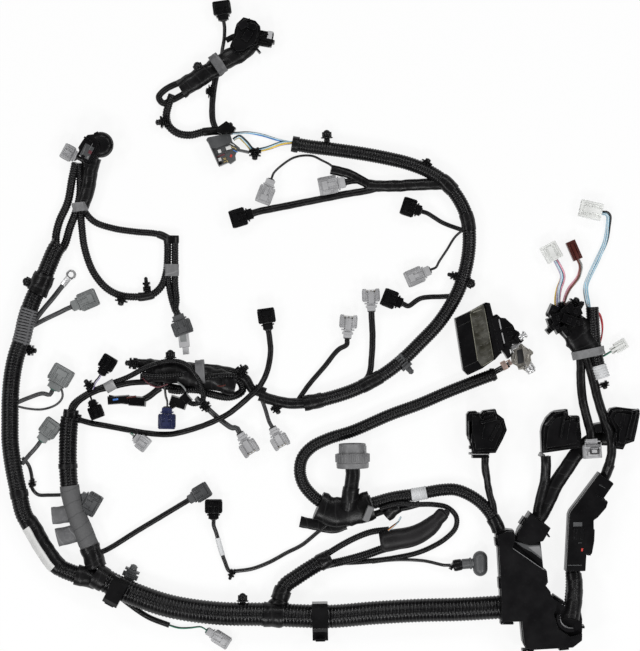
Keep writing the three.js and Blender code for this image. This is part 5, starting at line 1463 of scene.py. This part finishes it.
def addClamp():
    jaw = stack(
        Shape(),
        [
            (510.8, 354.6), (513.4, 346.6), (519.6, 344.4), (521.4, 343.4), (524.6, 346.4), (527.9, 348.6),
            (531.4, 350.2), (533.2, 353.6), (530.4, 356), (531.4, 362), (535.4, 367.4), (533.8, 369.6),
            (527, 372), (522.6, 369.4), (519.4, 369.8), (517, 366), (511.6, 363.4)
        ],
        [(6, 15, 0, 0)]
    )
    # Painted shade: a dark plate on top of the jaw where the post hole lies in shadow
    stack(jaw, [(516.6, 350.4), (522.4, 348.6), (523.6, 362.6), (518, 364.2)], [(14.6, 15.6, 0, 2)])
    stack(
        jaw, [(521.2, 345), (524.6, 347), (530, 353.4), (530, 364), (526.6, 368), (523.8, 362)],
        [(15, 21, 0.5, 0)]
    )
    stack(jaw, [(511.4, 354), (515, 350.8), (516.6, 364.4), (511.8, 362.8)], [(15, 19, 0.3, 0)])
    blocks(
        jaw,
        [
            (529.8, 351.8, -40, 8, 6, 14, 20, 0, 1), (526.8, 357.6, 80, 12, 3.4, 20, 23, 0, 1),
            (521, 367.6, 20, 9, 4, 14, 19, 0, 1), (514.6, 357.6, 75, 12, 2.6, 18, 20.4, 0, 0.6)
        ]
    )
    jaw.piece(
        "clamp_jaw", ["clampMetal", "tinned", "darkSeal"], "clamp_metal", bevel=0.0009,
        replaces=("battery_clamp",)
    )
    stud = Shape()
    barrel = seat({"at": [526.6, 362.4], "turn": -62, "lift": 14})
    stud.lathe(
        [(-4, 3), (0, 4.4), (2, 5.6), (6, 6), (6.6, 6.8), (12, 7), (13, 6), (15.4, 5.8), (16, 4)], 24, 0,
        barrel
    )
    bright = seat({"at": [521.6, 335.8], "turn": 35, "lift": 30})
    stud.lathe([(-6, 4.4), (-2, 4.8), (-1.6, 3), (2, 3.2), (2.4, 5), (4.6, 5.2), (5.4, 3)], 18, 0, bright)
    blocks(
        stud,
        [
            (514, 346.8, 25, 12, 7, 14, 17.4, 0, 0.5), (518.6, 342.8, 80, 7, 4, 15, 26, 0, 0.5),
            (511.8, 350.4, -62, 8, 3, 15, 20, 0, 0.5)
        ]
    )
    stud.piece("clamp_bolts", ["tinned"], "tinned_steel", bevel=0.0004, replaces=("clamp_stud",))


addFuseBox()
addClamp()
print("fuse box and clamp made")


# Junction box: body with snap tabs, lid with its sloping edge, port ring and sleeve
def addJunctionBox():
    body = stack(
        Shape(),
        [
            (494.6, 533.1), (496, 530), (505.8, 528.5), (513, 529.3), (514.5, 537.1), (517, 529),
            (528.8, 510.8), (549.4, 527), (542.2, 539.7), (539.2, 540.7), (542, 567.2), (544.6, 568.3),
            (545.9, 581.5), (544.1, 583.6), (549.2, 590.2), (549.7, 593.8), (563, 601.4), (578.8, 606),
            (580.8, 617.8), (580.4, 638.2), (571.2, 645.6), (530, 648), (524, 646), (521.6, 640.9),
            (519.5, 619.8), (499.6, 620.4), (499.2, 594.4), (498.4, 576), (496.6, 545.3)
        ],
        [(0, 31, 0, 0)]
    )
    tabs = [
        (495.4, 541, -82, 12, 4), (498.6, 582, -86, 15, 4), (506, 621.6, 0, 18, 4),
        (545.2, 575.4, -84, 17, 3.4), (557, 597.6, -34, 17, 4), (527, 649, 0, 16, 4),
        (562.6, 647, 6, 14, 4), (581.6, 625.4, 0, 5, 4), (579.6, 632, 86, 20, 3), (521, 519.4, 56, 12, 3),
        (546.6, 533.4, -56, 9, 3)
    ]
    for column, row, turn, length, width in tabs:
        block(body, column, row, turn, length, width, 12, 33, 0, 0.5)
    block(body, 527.4, 514.6, 58, 7, 1.6, 30, 33.6, 2, 0.2)
    for column, row in (
        (495.6, 544.4), (501.4, 621.8), (512.6, 621.2), (560.8, 602.6), (563, 603.8), (525.6, 648.8),
        (541.6, 539)
    ):
        block(body, column, row, 20, 1.6, 1.2, 32.6, 33.5, 3, 0.1)
    stack(
        body, [(517, 529), (528.8, 511.4), (548.8, 527.4), (541.6, 540), (527, 543.6), (514.6, 538.6)],
        [(31, 37, 0.6, 0)]
    )
    body.piece(
        "junction_body", ["boxPlastic", "midGrey", "paleTape", "lightPlastic"], "black_plastic",
        bevel=0.0008, replaces=("junction_box_base",)
    )
    lid = stack(
        Shape(),
        [
            (495.6, 533.8), (505.8, 529.6), (512.4, 530.2), (513.6, 538), (510.9, 546.4), (541.6, 567.6),
            (544.4, 569), (545.2, 581.6), (543.4, 584), (548.6, 590.8), (549.2, 594.6), (556, 600),
            (552, 612), (556.4, 626), (568, 634), (580, 631), (579.8, 637.8), (570.8, 644.8),
            (530.4, 647.2), (524.6, 645.4), (522.4, 640.6), (520.2, 619), (500.2, 619.6), (500, 594),
            (499.2, 576), (497.4, 545)
        ],
        [(31, 41, 0, 0)]
    )
    stack(
        lid,
        [
            (556, 600), (563, 602.4), (578.2, 607), (580, 617.8), (580, 631), (568, 634), (556.4, 626),
            (552, 612)
        ],
        [(31, 33.4, -0.2, 0)]
    )
    # Painted highlight: a pale grey line along the lid's diagonal edge
    block(lid, 526.4, 556.9, -34.8, 50.5, 1.0, 40.4, 42, 1, 0.1)
    stack(lid, [(512.8, 540.6), (539.3, 541.6), (541.9, 567)], [(31, 33.4, 0, 0)])
    # Painted reflection on the flap below the diagonal edge: a dark grey plate, with a lighter mid grey
    # plate on it
    stack(
        lid,
        [(513, 539.6), (520, 541.4), (528, 543.7), (539.4, 543.4), (541, 558.4), (531, 551), (521, 545.8)],
        [(33, 34, 0, 2)]
    )
    stack(lid, [(526, 545), (539, 544.4), (540.8, 556.6), (532, 550)], [(33.4, 34.4, 0.3, 1)])
    lid.piece(
        "junction_lid", ["boxPlastic", "midGrey", "darkGreyPlastic"], "black_plastic", bevel=0.0008,
        replaces=("junction_box_cover",)
    )
    rim, outer, glint = [], [], []
    for step in range(13):
        turn = math.radians(165 + step * 10)
        swell = 1.1 * math.sin(math.pi * step / 12)
        for arc, reach in ((rim, 14), (outer, 10.8), (glint, 10.6 - swell)):
            arc.append((568.5 + reach * math.cos(turn), 615.4 - reach * math.sin(turn)))
    port = Shape()
    for first, second, high, finish in ((rim, outer, 41.6, 0), (outer, glint, 36.5, 1)):
        for k in range(12):
            stack(port, [first[k], first[k + 1], second[k + 1], second[k]], [(31, high, 0, finish)])
    port.piece("port_ring", ["boxPlastic", "lightPlastic"], "black_plastic", sharp=60)
    path = Line([[573.5, 574, 2], [574.4, 585, 6], [573, 600, 16], [569.5, 617.5, 24]], 0.0115)
    sleeve = sweep(Shape(), path, evenMarks(0, path.length, 0.0016), 0.0222, 0.022, tapeForm(5, 0.03), 28)
    sleeve.piece("port_sleeve", ["smoothTape"], "tape", sharp=60)


def addChannel():
    outline = [
        (598.2, 471.6), (603.9, 476.2), (612.4, 482.5), (601.6, 498), (606.7, 500.4), (605, 506.4),
        (596.5, 516.3), (592.6, 519), (592.6, 542), (590.4, 553.3), (584.9, 553.6), (583.9, 570.2),
        (564.5, 570.6), (564.9, 564.9), (567.4, 514.2), (569, 510), (574.4, 503)
    ]
    body = stack(Shape(), outline, [(0, 22, 0, 0)])
    body.piece("channel_body", ["boxPlastic"], "black_plastic", bevel=0.0007, replaces=("channel_base",))
    cover = stack(Shape(), outline, [(22.2, 31.6, 0.5, 0)])
    cover.piece("channel_lid", ["blackPlastic"], "black_plastic", bevel=0.0009, replaces=("channel_cover",))
    marks = Shape()
    blocks(
        marks,
        [
            (576.2, 523.1, 0, 12.4, 6, 31.4, 32.6, 1, 0.3), (573.6, 533, 88, 15, 6, 31.4, 32.4, 0, 0.3),
            (573.6, 533, 88, 11, 3, 32, 32.8, 2, 0.3), (580.6, 532, 88, 17, 5, 31.4, 33, 2, 0.3),
            (580.5, 548.4, 80, 4.6, 2.8, 31.4, 33, 3, 0.4), (578.6, 541.6, 0, 5, 1, 31.4, 32.6, 1, 0.2),
            (573.2, 563.8, 0, 19, 1.4, 31.4, 33, 1, 0.3), (600.6, 485.4, -30, 10, 0.9, 31.2, 32.4, 1, 0.1),
            (596.6, 494.4, -32, 11, 0.8, 31.2, 32.4, 2, 0.1), (588.6, 545, 88, 27, 5.4, 12, 24, 0, 0.4),
            (592.4, 535, 88, 17, 4.4, 10, 22, 0, 0.4), (603.4, 500.4, -58, 12, 5, 8, 22, 0, 0.4)
        ]
    )
    marks.piece(
        "channel_marks", ["boxPlastic", "darkGreyPlastic", "blackPlastic", "redDot"], "black_plastic",
        bevel=0.0003
    )


# Tee plug: a round-ended head on a stem, with a black collar
def addTeePlug():
    shape = Shape()
    head = seat({"at": [480.5, 576.4], "turn": 91, "lift": 10})
    angles = [math.pi * k / 12 for k in range(7)]
    ends = [(10 - 10 * math.cos(angle), max(0.4, 10 * math.sin(angle))) for angle in angles]
    shape.lathe(ends + [(34.4 - x, radius) for x, radius in reversed(ends)], 32, 0, head)
    stem = seat({"at": [462, 564.4], "turn": 5, "lift": 8.5})
    shape.lathe([(0, 6), (0.6, 7), (12, 7), (13, 6.4), (22, 6.8)], 28, 0, stem)
    shape.lathe([(10.4, 7.4), (11, 8), (12.6, 8), (13.2, 7.2)], 28, 0, stem)
    collar = seat({"at": [453, 566.2], "turn": 10, "lift": 8.2})
    shape.lathe([(0, 4), (1, 7.4), (4, 8), (11.4, 7.6), (12.4, 6.6)], 24, 1, collar)
    block(shape, 452.6, 566.4, 60, 12, 5, 2, 14, 1, 1)
    shape.piece(
        "tee_plug_body", ["darkGreyPlastic", "blackPlastic"], "grey_plastic", bevel=0.0003, sharp=50,
        replaces=("tee_plug",)
    )


# Fuse plug: grey plate over an open frame with its contacts, a black block on top and an arm
def addFusePlug():
    shape = stack(
        Shape(),
        [(206.4, 140.4), (208, 137.9), (230.1, 133.2), (232.6, 142.4), (215.6, 148.8), (211.6, 148.4)],
        [(2, 21, 0, 0)]
    )
    stack(
        shape,
        [
            (211.4, 147.6), (232.4, 142), (240, 148), (236.6, 152), (235.2, 155.2), (235.8, 160),
            (230.6, 164), (228, 162.6), (218.8, 166.6)
        ],
        [(2, 15, 0, 0)]
    )
    blocks(
        shape,
        [
            (213.4, 153.4, -66, 36, 1.6, 14, 22, 2, 0.2), (223.4, 164, 24, 12, 1.6, 14, 18, 0, 0.2),
            (222.8, 153.6, 24, 20, 1.2, 14.6, 17.6, 0, 0.1)
        ]
    )
    for column, row, turn, length, width, finish in (
        (219.6, 151.4, 20, 4.6, 5, 3), (228.6, 148, 20, 7.4, 5.4, 3), (221, 155.6, 18, 11, 2.4, 4),
        (219.8, 159.6, 20, 4.4, 4.6, 3), (225, 159, 20, 4, 3.6, 5), (226, 162, 15, 6.4, 2.6, 5),
        (231.2, 156, 70, 4, 3, 6), (220.6, 163.8, 20, 4, 4, 1), (233.6, 147.6, -28, 9, 1.6, 5),
        (232.2, 144.4, -30, 8, 1.4, 3), (235.6, 151.4, -24, 7, 1.2, 7)
    ):
        block(shape, column, row, turn, length, width, 14.4, 16.2, finish, 0.1)
    block(shape, 243, 150.8, -12, 17, 4.4, 6, 13, 0, 0.8)
    stack(
        shape, [(219, 127), (226.6, 121.6), (236.2, 128.4), (232.2, 134.4), (223, 135), (217.6, 133)],
        [(2, 24, 0, 1), (24, 27, 1.4, 1)]
    )
    looks = [
        "darkGreyPlastic", "blackPlastic", "midGrey", "label", "maroonPanel", "brass", "redDot", "blueWire"
    ]
    shape.piece("fuse_plug_body", looks, "dark_grey_plastic", bevel=0.0004, replaces=("fuse_plug",))


# Head of the top bundle: a lump of joined blocks, with a pale face on the plug at its side
def addTopHead():
    shape = stack(
        Shape(),
        [
            (230, 47), (234, 37), (234.8, 31), (236.8, 24.4), (243.6, 17.9), (249.4, 19.6), (255.8, 21.6),
            (260.4, 27), (260.4, 34.6), (257.6, 44), (251, 49.6), (243.6, 54), (236, 54.4)
        ],
        [(0, 21, 0, 0), (21, 26, 2.4, 0)]
    )
    blocks(
        shape,
        [
            (243.6, 26, 30, 14, 12, 20, 29, 1, 1), (252, 27.4, -20, 15, 10, 20, 28, 0, 1),
            (247.4, 37, 55, 18, 13, 20, 28.6, 0, 1.4), (239.4, 36.6, 62, 14, 8, 18, 27, 0, 1),
            (256, 37.6, 70, 14, 7, 16, 25, 0, 1), (240.8, 46, 40, 16, 10, 16, 25.6, 0, 1.4),
            (250.6, 45, 30, 12, 8, 14, 24, 0, 1), (247.6, 21.6, 14, 9, 4, 22, 30, 0, 0.6),
            (256.6, 48.6, -50, 16, 4, 6, 17, 0, 0.8)
        ]
    )
    shape.piece(
        "top_head", ["blackPlastic", "boxPlastic"], "black_plastic", bevel=0.0007, replaces=("top_cap",)
    )
    face = Shape()
    blocks(
        face,
        [
            (270, 35.4, -10, 8, 12, 4, 18.4, 0, 0.8), (271, 41.4, -10, 10, 6, 2, 17, 1, 0.8),
            (262.4, 35.4, 4, 17, 3, 15, 19, 1, 0.4)
        ]
    )
    face.piece("top_side_face", ["lightPlastic", "blackPlastic"], "light_plastic", bevel=0.0004)


# Mating half under the loop's plug, and the inline plugs caught in the folded bundle
def addLoosePlugs():
    shape = Shape()
    blocks(
        shape,
        [
            (183.6, 340, -84, 20, 14.5, 3, 17, 0, 0.8), (185.4, 349.4, -84, 14, 8.6, 4, 15, 0, 0.8),
            (183.4, 337.6, -84, 12, 9, 10, 17.6, 1, 0.4)
        ]
    )
    shape.piece("loop_end_mate", ["lightPlastic", "greyPlastic"], "light_plastic", bevel=0.0004)
    shape = Shape()
    blocks(
        shape,
        [
            (118, 400, 4, 30, 12, 2, 15, 0, 1.2), (137, 401.4, -4, 24, 14, 2, 16, 0, 1.4),
            (127.4, 401, 0, 9, 9, 3, 14, 1, 0.6), (115.6, 399.4, 10, 8, 3, 14, 15.6, 2, 0.4),
            (131.4, 397, 8, 14, 3, 13, 16.4, 3, 0.6), (178, 402.6, -18, 24, 15, 2, 17, 0, 1.4),
            (186, 398.4, -48, 15, 11, 3, 18, 0, 1), (173.6, 405.6, 30, 10, 7, 8, 18.4, 1, 0.8)
        ]
    )
    looks = ["blackPlastic", "clipPlastic", "blueWire", "brownPlastic"]
    shape.piece("fold_inline_plugs", looks, "black_plastic", bevel=0.0006)


# Leads that show on top of the folded bundle: ribbed ends and a few bare wires
foldLeads = {
    "fold_ribbed_1": {
        "route": [[143, 374, 17], [156, 375.6, 21], [170, 375.2, 21], [184, 374, 17]], "pitch": 3.3,
        "diameter": 8.6
    },
    "fold_ribbed_2": {
        "route": [[206, 377.4, 17], [216, 376.2, 21], [227, 375.2, 21], [237, 376, 17]], "pitch": 3.3,
        "diameter": 8.2
    },
    "fold_ribbed_3": {
        "route": [[169, 390.4, 10], [178, 391.6, 14], [188, 390.4, 14], [196, 388.6, 10]], "pitch": 3.1,
        "diameter": 7.6
    },
    "fold_loose_1": {
        "route": [[143, 378, 15], [150, 384, 21], [158, 387, 20], [168, 384, 16]], "tones": ["maroonPanel"],
        "diameter": 1.8
    },
    "fold_loose_2": {
        "route": [[178, 382, 17], [184, 387, 21], [188, 394, 17]], "tones": ["greyPlastic"], "diameter": 2.4
    },
    "fold_loose_3": {
        "route": [[212, 383, 17], [221, 386, 21], [232, 382, 19]], "tones": ["brownPlastic"],
        "diameter": 1.8
    }
}


def addFoldLead(name, lead):
    size = lead["diameter"] * 0.001
    line = Line(lead["route"], size / 2)
    shape = Shape()
    if "pitch" in lead:
        marks, pitch = ribMarks(0, line.length, lead["pitch"] * 0.001)
        form = ribForm(0, pitch, pitch * ribDepths["foldLead"], size / 2)
        sweep(shape, line, marks, size, size, form, 14)
        paintCrestHighlights(shape, marks, 14)
        return shape.piece(name, ["conduit", "ribCrestHighlight"], "conduit", sharp=50)
    tube(shape, line, size, sides=10)
    return shape.piece(name, lead["tones"], "tape", sharp=60)


# Blocks and tangle where the cabin cable fans out
def addCabinBlocks():
    shape = Shape()
    for spec in [
        (553, 310.4, 66, 16, 14, 4, 26), (556.6, 318, 20, 18, 16, 4, 30), (566, 309, 42, 20, 12, 8, 31),
        (574, 312, 20, 20, 14, 6, 30), (579.6, 305.8, 60, 12, 9, 8, 26), (568, 320, -20, 22, 15, 10, 34),
        (577, 322, 10, 16, 12, 8, 31), (557, 327, -60, 18, 12, 6, 27), (550, 321.6, 20, 9, 11, 4, 18),
        (549.4, 330.4, 40, 9, 9, 3, 14), (552.6, 327, 40, 10, 10, 3, 20), (564.4, 331, -50, 18, 10, 14, 33),
        (561, 304.6, 12, 10, 8, 6, 22), (582.2, 303.6, 75, 7, 5, 8, 22)
    ]:
        block(shape, *spec, 0, 1.2)
        column, row, turn, length, width, low, high = spec
        block(shape, column, row, turn + 90, width * 0.5, length * 0.3, high - 1, high + 1.4, 1, 0.5)
    shape.piece("cabin_blocks", ["blackPlastic", "boxPlastic"], "black_plastic", bevel=0.0005)


# Blank label half way round the left trunk; the strip of tape beside it is not made here
def addLabel(name, group, ends, reach, turns, look):
    line = lines[group, 0]
    low, high = sorted((line.near(*ends[0]), line.near(*ends[1])))
    size = cables[group][0]["diameter"] * 0.001

    def form(mark, angle):
        turn = math.degrees(angle) % 360
        return reach if turns[0] <= turn <= turns[1] else 0.9

    shape = sweep(Shape(), line, evenMarks(low, high, 0.002), size, size, form, 48)
    shape.piece(name, [look], "tape", sharp=50)


addJunctionBox()
addChannel()
addTeePlug()
addFusePlug()
addTopHead()
addLoosePlugs()
for name, lead in foldLeads.items():
    addFoldLead(name, lead)
addCabinBlocks()


# Square latch on the plug at the end of the tape, and the strap beside the round plug
def addSquareLatch():
    shape = Shape()
    for spec in [
        (591.2, 447, 0, 24, 2.4, 31.6, 33.6, 0), (592.7, 446.6, 0, 9.6, 1.6, 32, 33.7, 1),
        (589, 449.8, 90, 9.6, 1.6, 32, 33.7, 1), (596.6, 449.8, 90, 9.6, 1.6, 32, 33.7, 1),
        (592.8, 453, 0, 9.6, 1.4, 32, 33.7, 1), (592.8, 450.4, 0, 7, 4.6, 31.8, 34.2, 0),
        (583.8, 449, 92, 20, 1.2, 31.8, 33.2, 0), (599.2, 449, 88, 20, 1.2, 31.8, 33.2, 0),
        (591, 440.6, 0, 21, 2, 31.4, 33.4, 0)
    ]:
        block(shape, *spec, 0.2)
    shape.piece("tape_end_latch", ["lightPlastic", "darkSeal"], "light_plastic", bevel=0.0002)
    strap = Shape()
    block(strap, 368, 513, 68, 22, 9.5, 22, 33.4, 0, 0.8)
    strap.piece("box_strap", ["midGrey"], "grey_plastic", bevel=0.0006)


addSquareLatch()
addLabel("left_label", "left_trunk", ((30.5, 525), (56, 565)), 1.11, (95, 185), "label")
print("boxes, tee plug and label made")


# Drum connector: round hood, and a stepped body with a panel and a maroon spot
def addDrum():
    shape = Shape()
    upright = Matrix.Rotation(-math.pi / 2, 4, "Y")
    hood = seat({"at": [101.2, 145.2], "turn": 0}) @ upright
    shape.lathe(
        [(3, 13), (6, 15.4), (24, 16.6), (27, 16.2), (29.4, 14), (31, 10), (31.6, 0.5)], 40, 0, hood
    )
    shape.lathe([(18, 16.4), (18.6, 17.4), (21, 17.4), (21.6, 16.4)], 40, 0, hood)
    shape.lathe([(0.5, 11), (4, 12), (4, 6)], 24, 0, hood)
    for turn in (20, 140, 260):
        around = hood @ Matrix.Rotation(math.radians(turn), 4, "X")
        shape.box((20, 15, -3), (29, 17.6, 3), 0, around, 0.5)
    face = [
        (79.4, 148.4), (84, 141), (88.6, 135.8), (94, 135.2), (100, 140.6), (103.2, 149.6), (98.8, 157.6),
        (92, 162), (87.2, 164.8), (82.6, 158.4)
    ]
    stack(shape, face, [(4, 29, 0, 0), (29, 33, 1.2, 0)])
    blocks(
        shape, [(88.4, 152.6, 62, 19, 14, 32.4, 34.4, 3, 0.4), (91.6, 153.4, 62, 5.2, 5, 33.6, 35, 1, 0.3)]
    )
    for column, row, length, width, finish in (
        (86.2, 149.8, 9, 0.9, 2), (85, 153.6, 8, 0.9, 2), (92.6, 147.8, 10, 0.9, 2),
        (89.4, 158.4, 4, 2.4, 2), (84.6, 157.6, 4, 5, 0), (94.6, 156.4, 5, 4, 0)
    ):
        block(shape, column, row, 62, length, width, 33.8, 35, finish, 0.1)
    blocks(
        shape,
        [
            (90.8, 141.2, 150, 17, 3, 31, 35, 0, 0.5), (81, 152.6, 62, 17, 3, 28, 33.6, 0, 0.5),
            (97, 150, 62, 20, 2.6, 31, 35, 0, 0.5)
        ]
    )
    looks = ["boxPlastic", "maroonPanel", "midGrey", "darkGreyPlastic"]
    shape.piece("drum_hood", looks, "black_plastic", bevel=0.0005, replaces=("drum_connector",))


# Round plug: ribbed grip ring, stepped nose, coloured wires at its back
def addRoundPlug():
    plug = plugs["round_plug"]
    back = seat(plug)
    place = back @ Matrix.Translation((0, 0, 22))
    shape = Shape()
    shape.lathe([(0, 11), (0.2, 20.4), (1, 21.6), (7, 22), (8.6, 20.8)], 40, 0, place)
    shape.lathe([(7.4, 19), (8, 21.6), (15, 22), (20.4, 21.2), (21, 18)], 48, 0, place)
    shape.lathe(
        [(19, 17.6), (20, 18.6), (32.6, 18.2), (33.6, 17.4), (33.8, 15.5), (25, 15), (25, 0.5)], 40, 0,
        place
    )
    shape.lathe([(24.5, 10.5), (30, 10.3), (30.5, 9.5), (30.5, 0.4)], 28, 1, place)
    for step in range(28):
        around = place @ Matrix.Rotation(2 * math.pi * step / 28, 4, "X")
        shape.box((8.6, 21, -0.9), (19.8, 22.9 if step % 7 else 23.4, 0.9), 0, around, 0.2)
    for step in range(3):
        around = place @ Matrix.Rotation(2 * math.pi * (step + 0.3) / 3, 4, "X")
        shape.box((20, 17.5, -3.2), (31, 19.8, 3.2), 0, around, 0.4)
    shape.piece(
        "round_plug_body", ["midGrey", "darkSeal"], "grey_plastic", bevel=0.0003, replaces=("round_plug",)
    )
    wires = Shape()
    tones = [
        "greenWire", "orangeWire", "blackWire", "skyWire", "blackWire", "greenWire", "orangeWire",
        "blackWire"
    ]
    for wire, tone in enumerate(tones):
        turn = 2 * math.pi * wire / len(tones) + 0.5
        y, z = 7.6 * math.cos(turn), 22 + 7.2 * math.sin(turn)
        stops = ((1, 1), (-3, 1), (-9, 0.85), (-14, 0.6))
        points = [back @ Vector((x, y * share, 22 + (z - 22) * share)) for x, share in stops]
        tube(wires, Line(points), 0.0022, finish=wire)
    wires.piece("round_plug_wires", tones, "tape", sharp=60)


# Rubber boot: one skin, swelling and then drawn in to its bent tip
boot = {
    "route": [[380, 542, 0], [395, 539.5], [413, 536], [428, 528], [438, 518.5], [445, 511, 1]],
    "stations": [
        (0, 11), (0.04, 13.8), (0.1, 14.6), (0.35, 14.2), (0.55, 13.4), (0.7, 12.4), (0.8, 10.6),
        (0.86, 9.0), (0.93, 9.4), (0.97, 8.8), (1, 5)
    ]
}


def addBoot():
    line = Line(boot["route"], 0.0135)

    def form(mark, angle):
        share = mark / line.length
        for (s0, r0), (s1, r1) in zip(boot["stations"], boot["stations"][1:]):
            if s0 <= share <= s1:
                radius = r0 + (r1 - r0) * (share - s0) / (s1 - s0)
                break
        dent = noise.noise(Vector((mark * 55, math.cos(angle), math.sin(angle) + 4))) * 0.035
        return radius / 14.6 + dent

    shape = sweep(Shape(), line, evenMarks(0, line.length, 0.0012), 0.0292, 0.0268, form, 40)
    knob = Matrix.Translation(boardPoint((446.5, 513), 0.010)) @ Matrix.Scale(0.001, 4)
    shape.lathe([(-4, 2.5), (-3, 4.6), (0, 5.2), (3, 4.2), (4.4, 1.5)], 20, 0, knob)
    shape.piece("rubber_boot_skin", ["rubber"], "boot_rubber", sharp=60, replaces=("rubber_boot",))
    wires = Shape()
    for wire, shift in enumerate((0, 2.2, -2.2)):
        route = [[388, 530 + shift * 0.4, 16], [393, 526 + shift * 0.3, 15], [398, 522, 12], [401, 517, 8]]
        tube(wires, Line(route, 0.001), 0.0021, finish=wire)
    wires.piece("boot_wires", ["orangeWire", "skyWire", "blackWire"], "tape", sharp=60)


addDrum()
addRoundPlug()
addBoot()
print("drum, round plug and boot made")


# White floor: it glows for the camera and in glossy and clear surfaces, and still takes the shadow
floorLook = {"half": 30, "glow": 0.86, "white": 0.93}
skyStrength = 0.07


def addFloor():
    paint = Paint("white floor")
    tree = paint.tree
    paint.give("Base Color", (*[floorLook["white"]] * 3, 1))
    paint.give("Roughness", 0.9)
    glow = paint.node("ShaderNodeEmission", {}, {"Color": (1, 1, 1, 1), "Strength": 1.0})
    seen = paint.node("ShaderNodeLightPath")
    for ray in ("Is Glossy Ray", "Is Transmission Ray"):
        seen += paint.node("ShaderNodeLightPath", output=ray)
    mixed = paint.node("ShaderNodeMixShader", {}, {0: seen * floorLook["glow"]})
    tree.links.new(paint.shader.outputs[0], mixed.socket.node.inputs[1])
    tree.links.new(glow.socket, mixed.socket.node.inputs[2])
    tree.links.new(mixed.socket, tree.nodes["Material Output"].inputs["Surface"])
    mesh = bpy.data.meshes.new("floor")
    half = floorLook["half"]
    corners = [(-half, -half, 0), (half, -half, 0), (half, half, 0), (-half, half, 0)]
    mesh.from_pydata(corners, [], [(0, 1, 2, 3)])
    mesh.materials.append(paint.material)
    holder = bpy.data.objects.new("floor", mesh)
    scene.collection.objects.link(holder)


def addWorld():
    world = bpy.data.worlds.new("studio")
    world.use_nodes = True
    scene.world = world
    sky = world.node_tree.nodes["Background"]
    sky.inputs["Color"].default_value = (1, 1, 1, 1)
    sky.inputs["Strength"].default_value = skyStrength


addFloor()
addWorld()
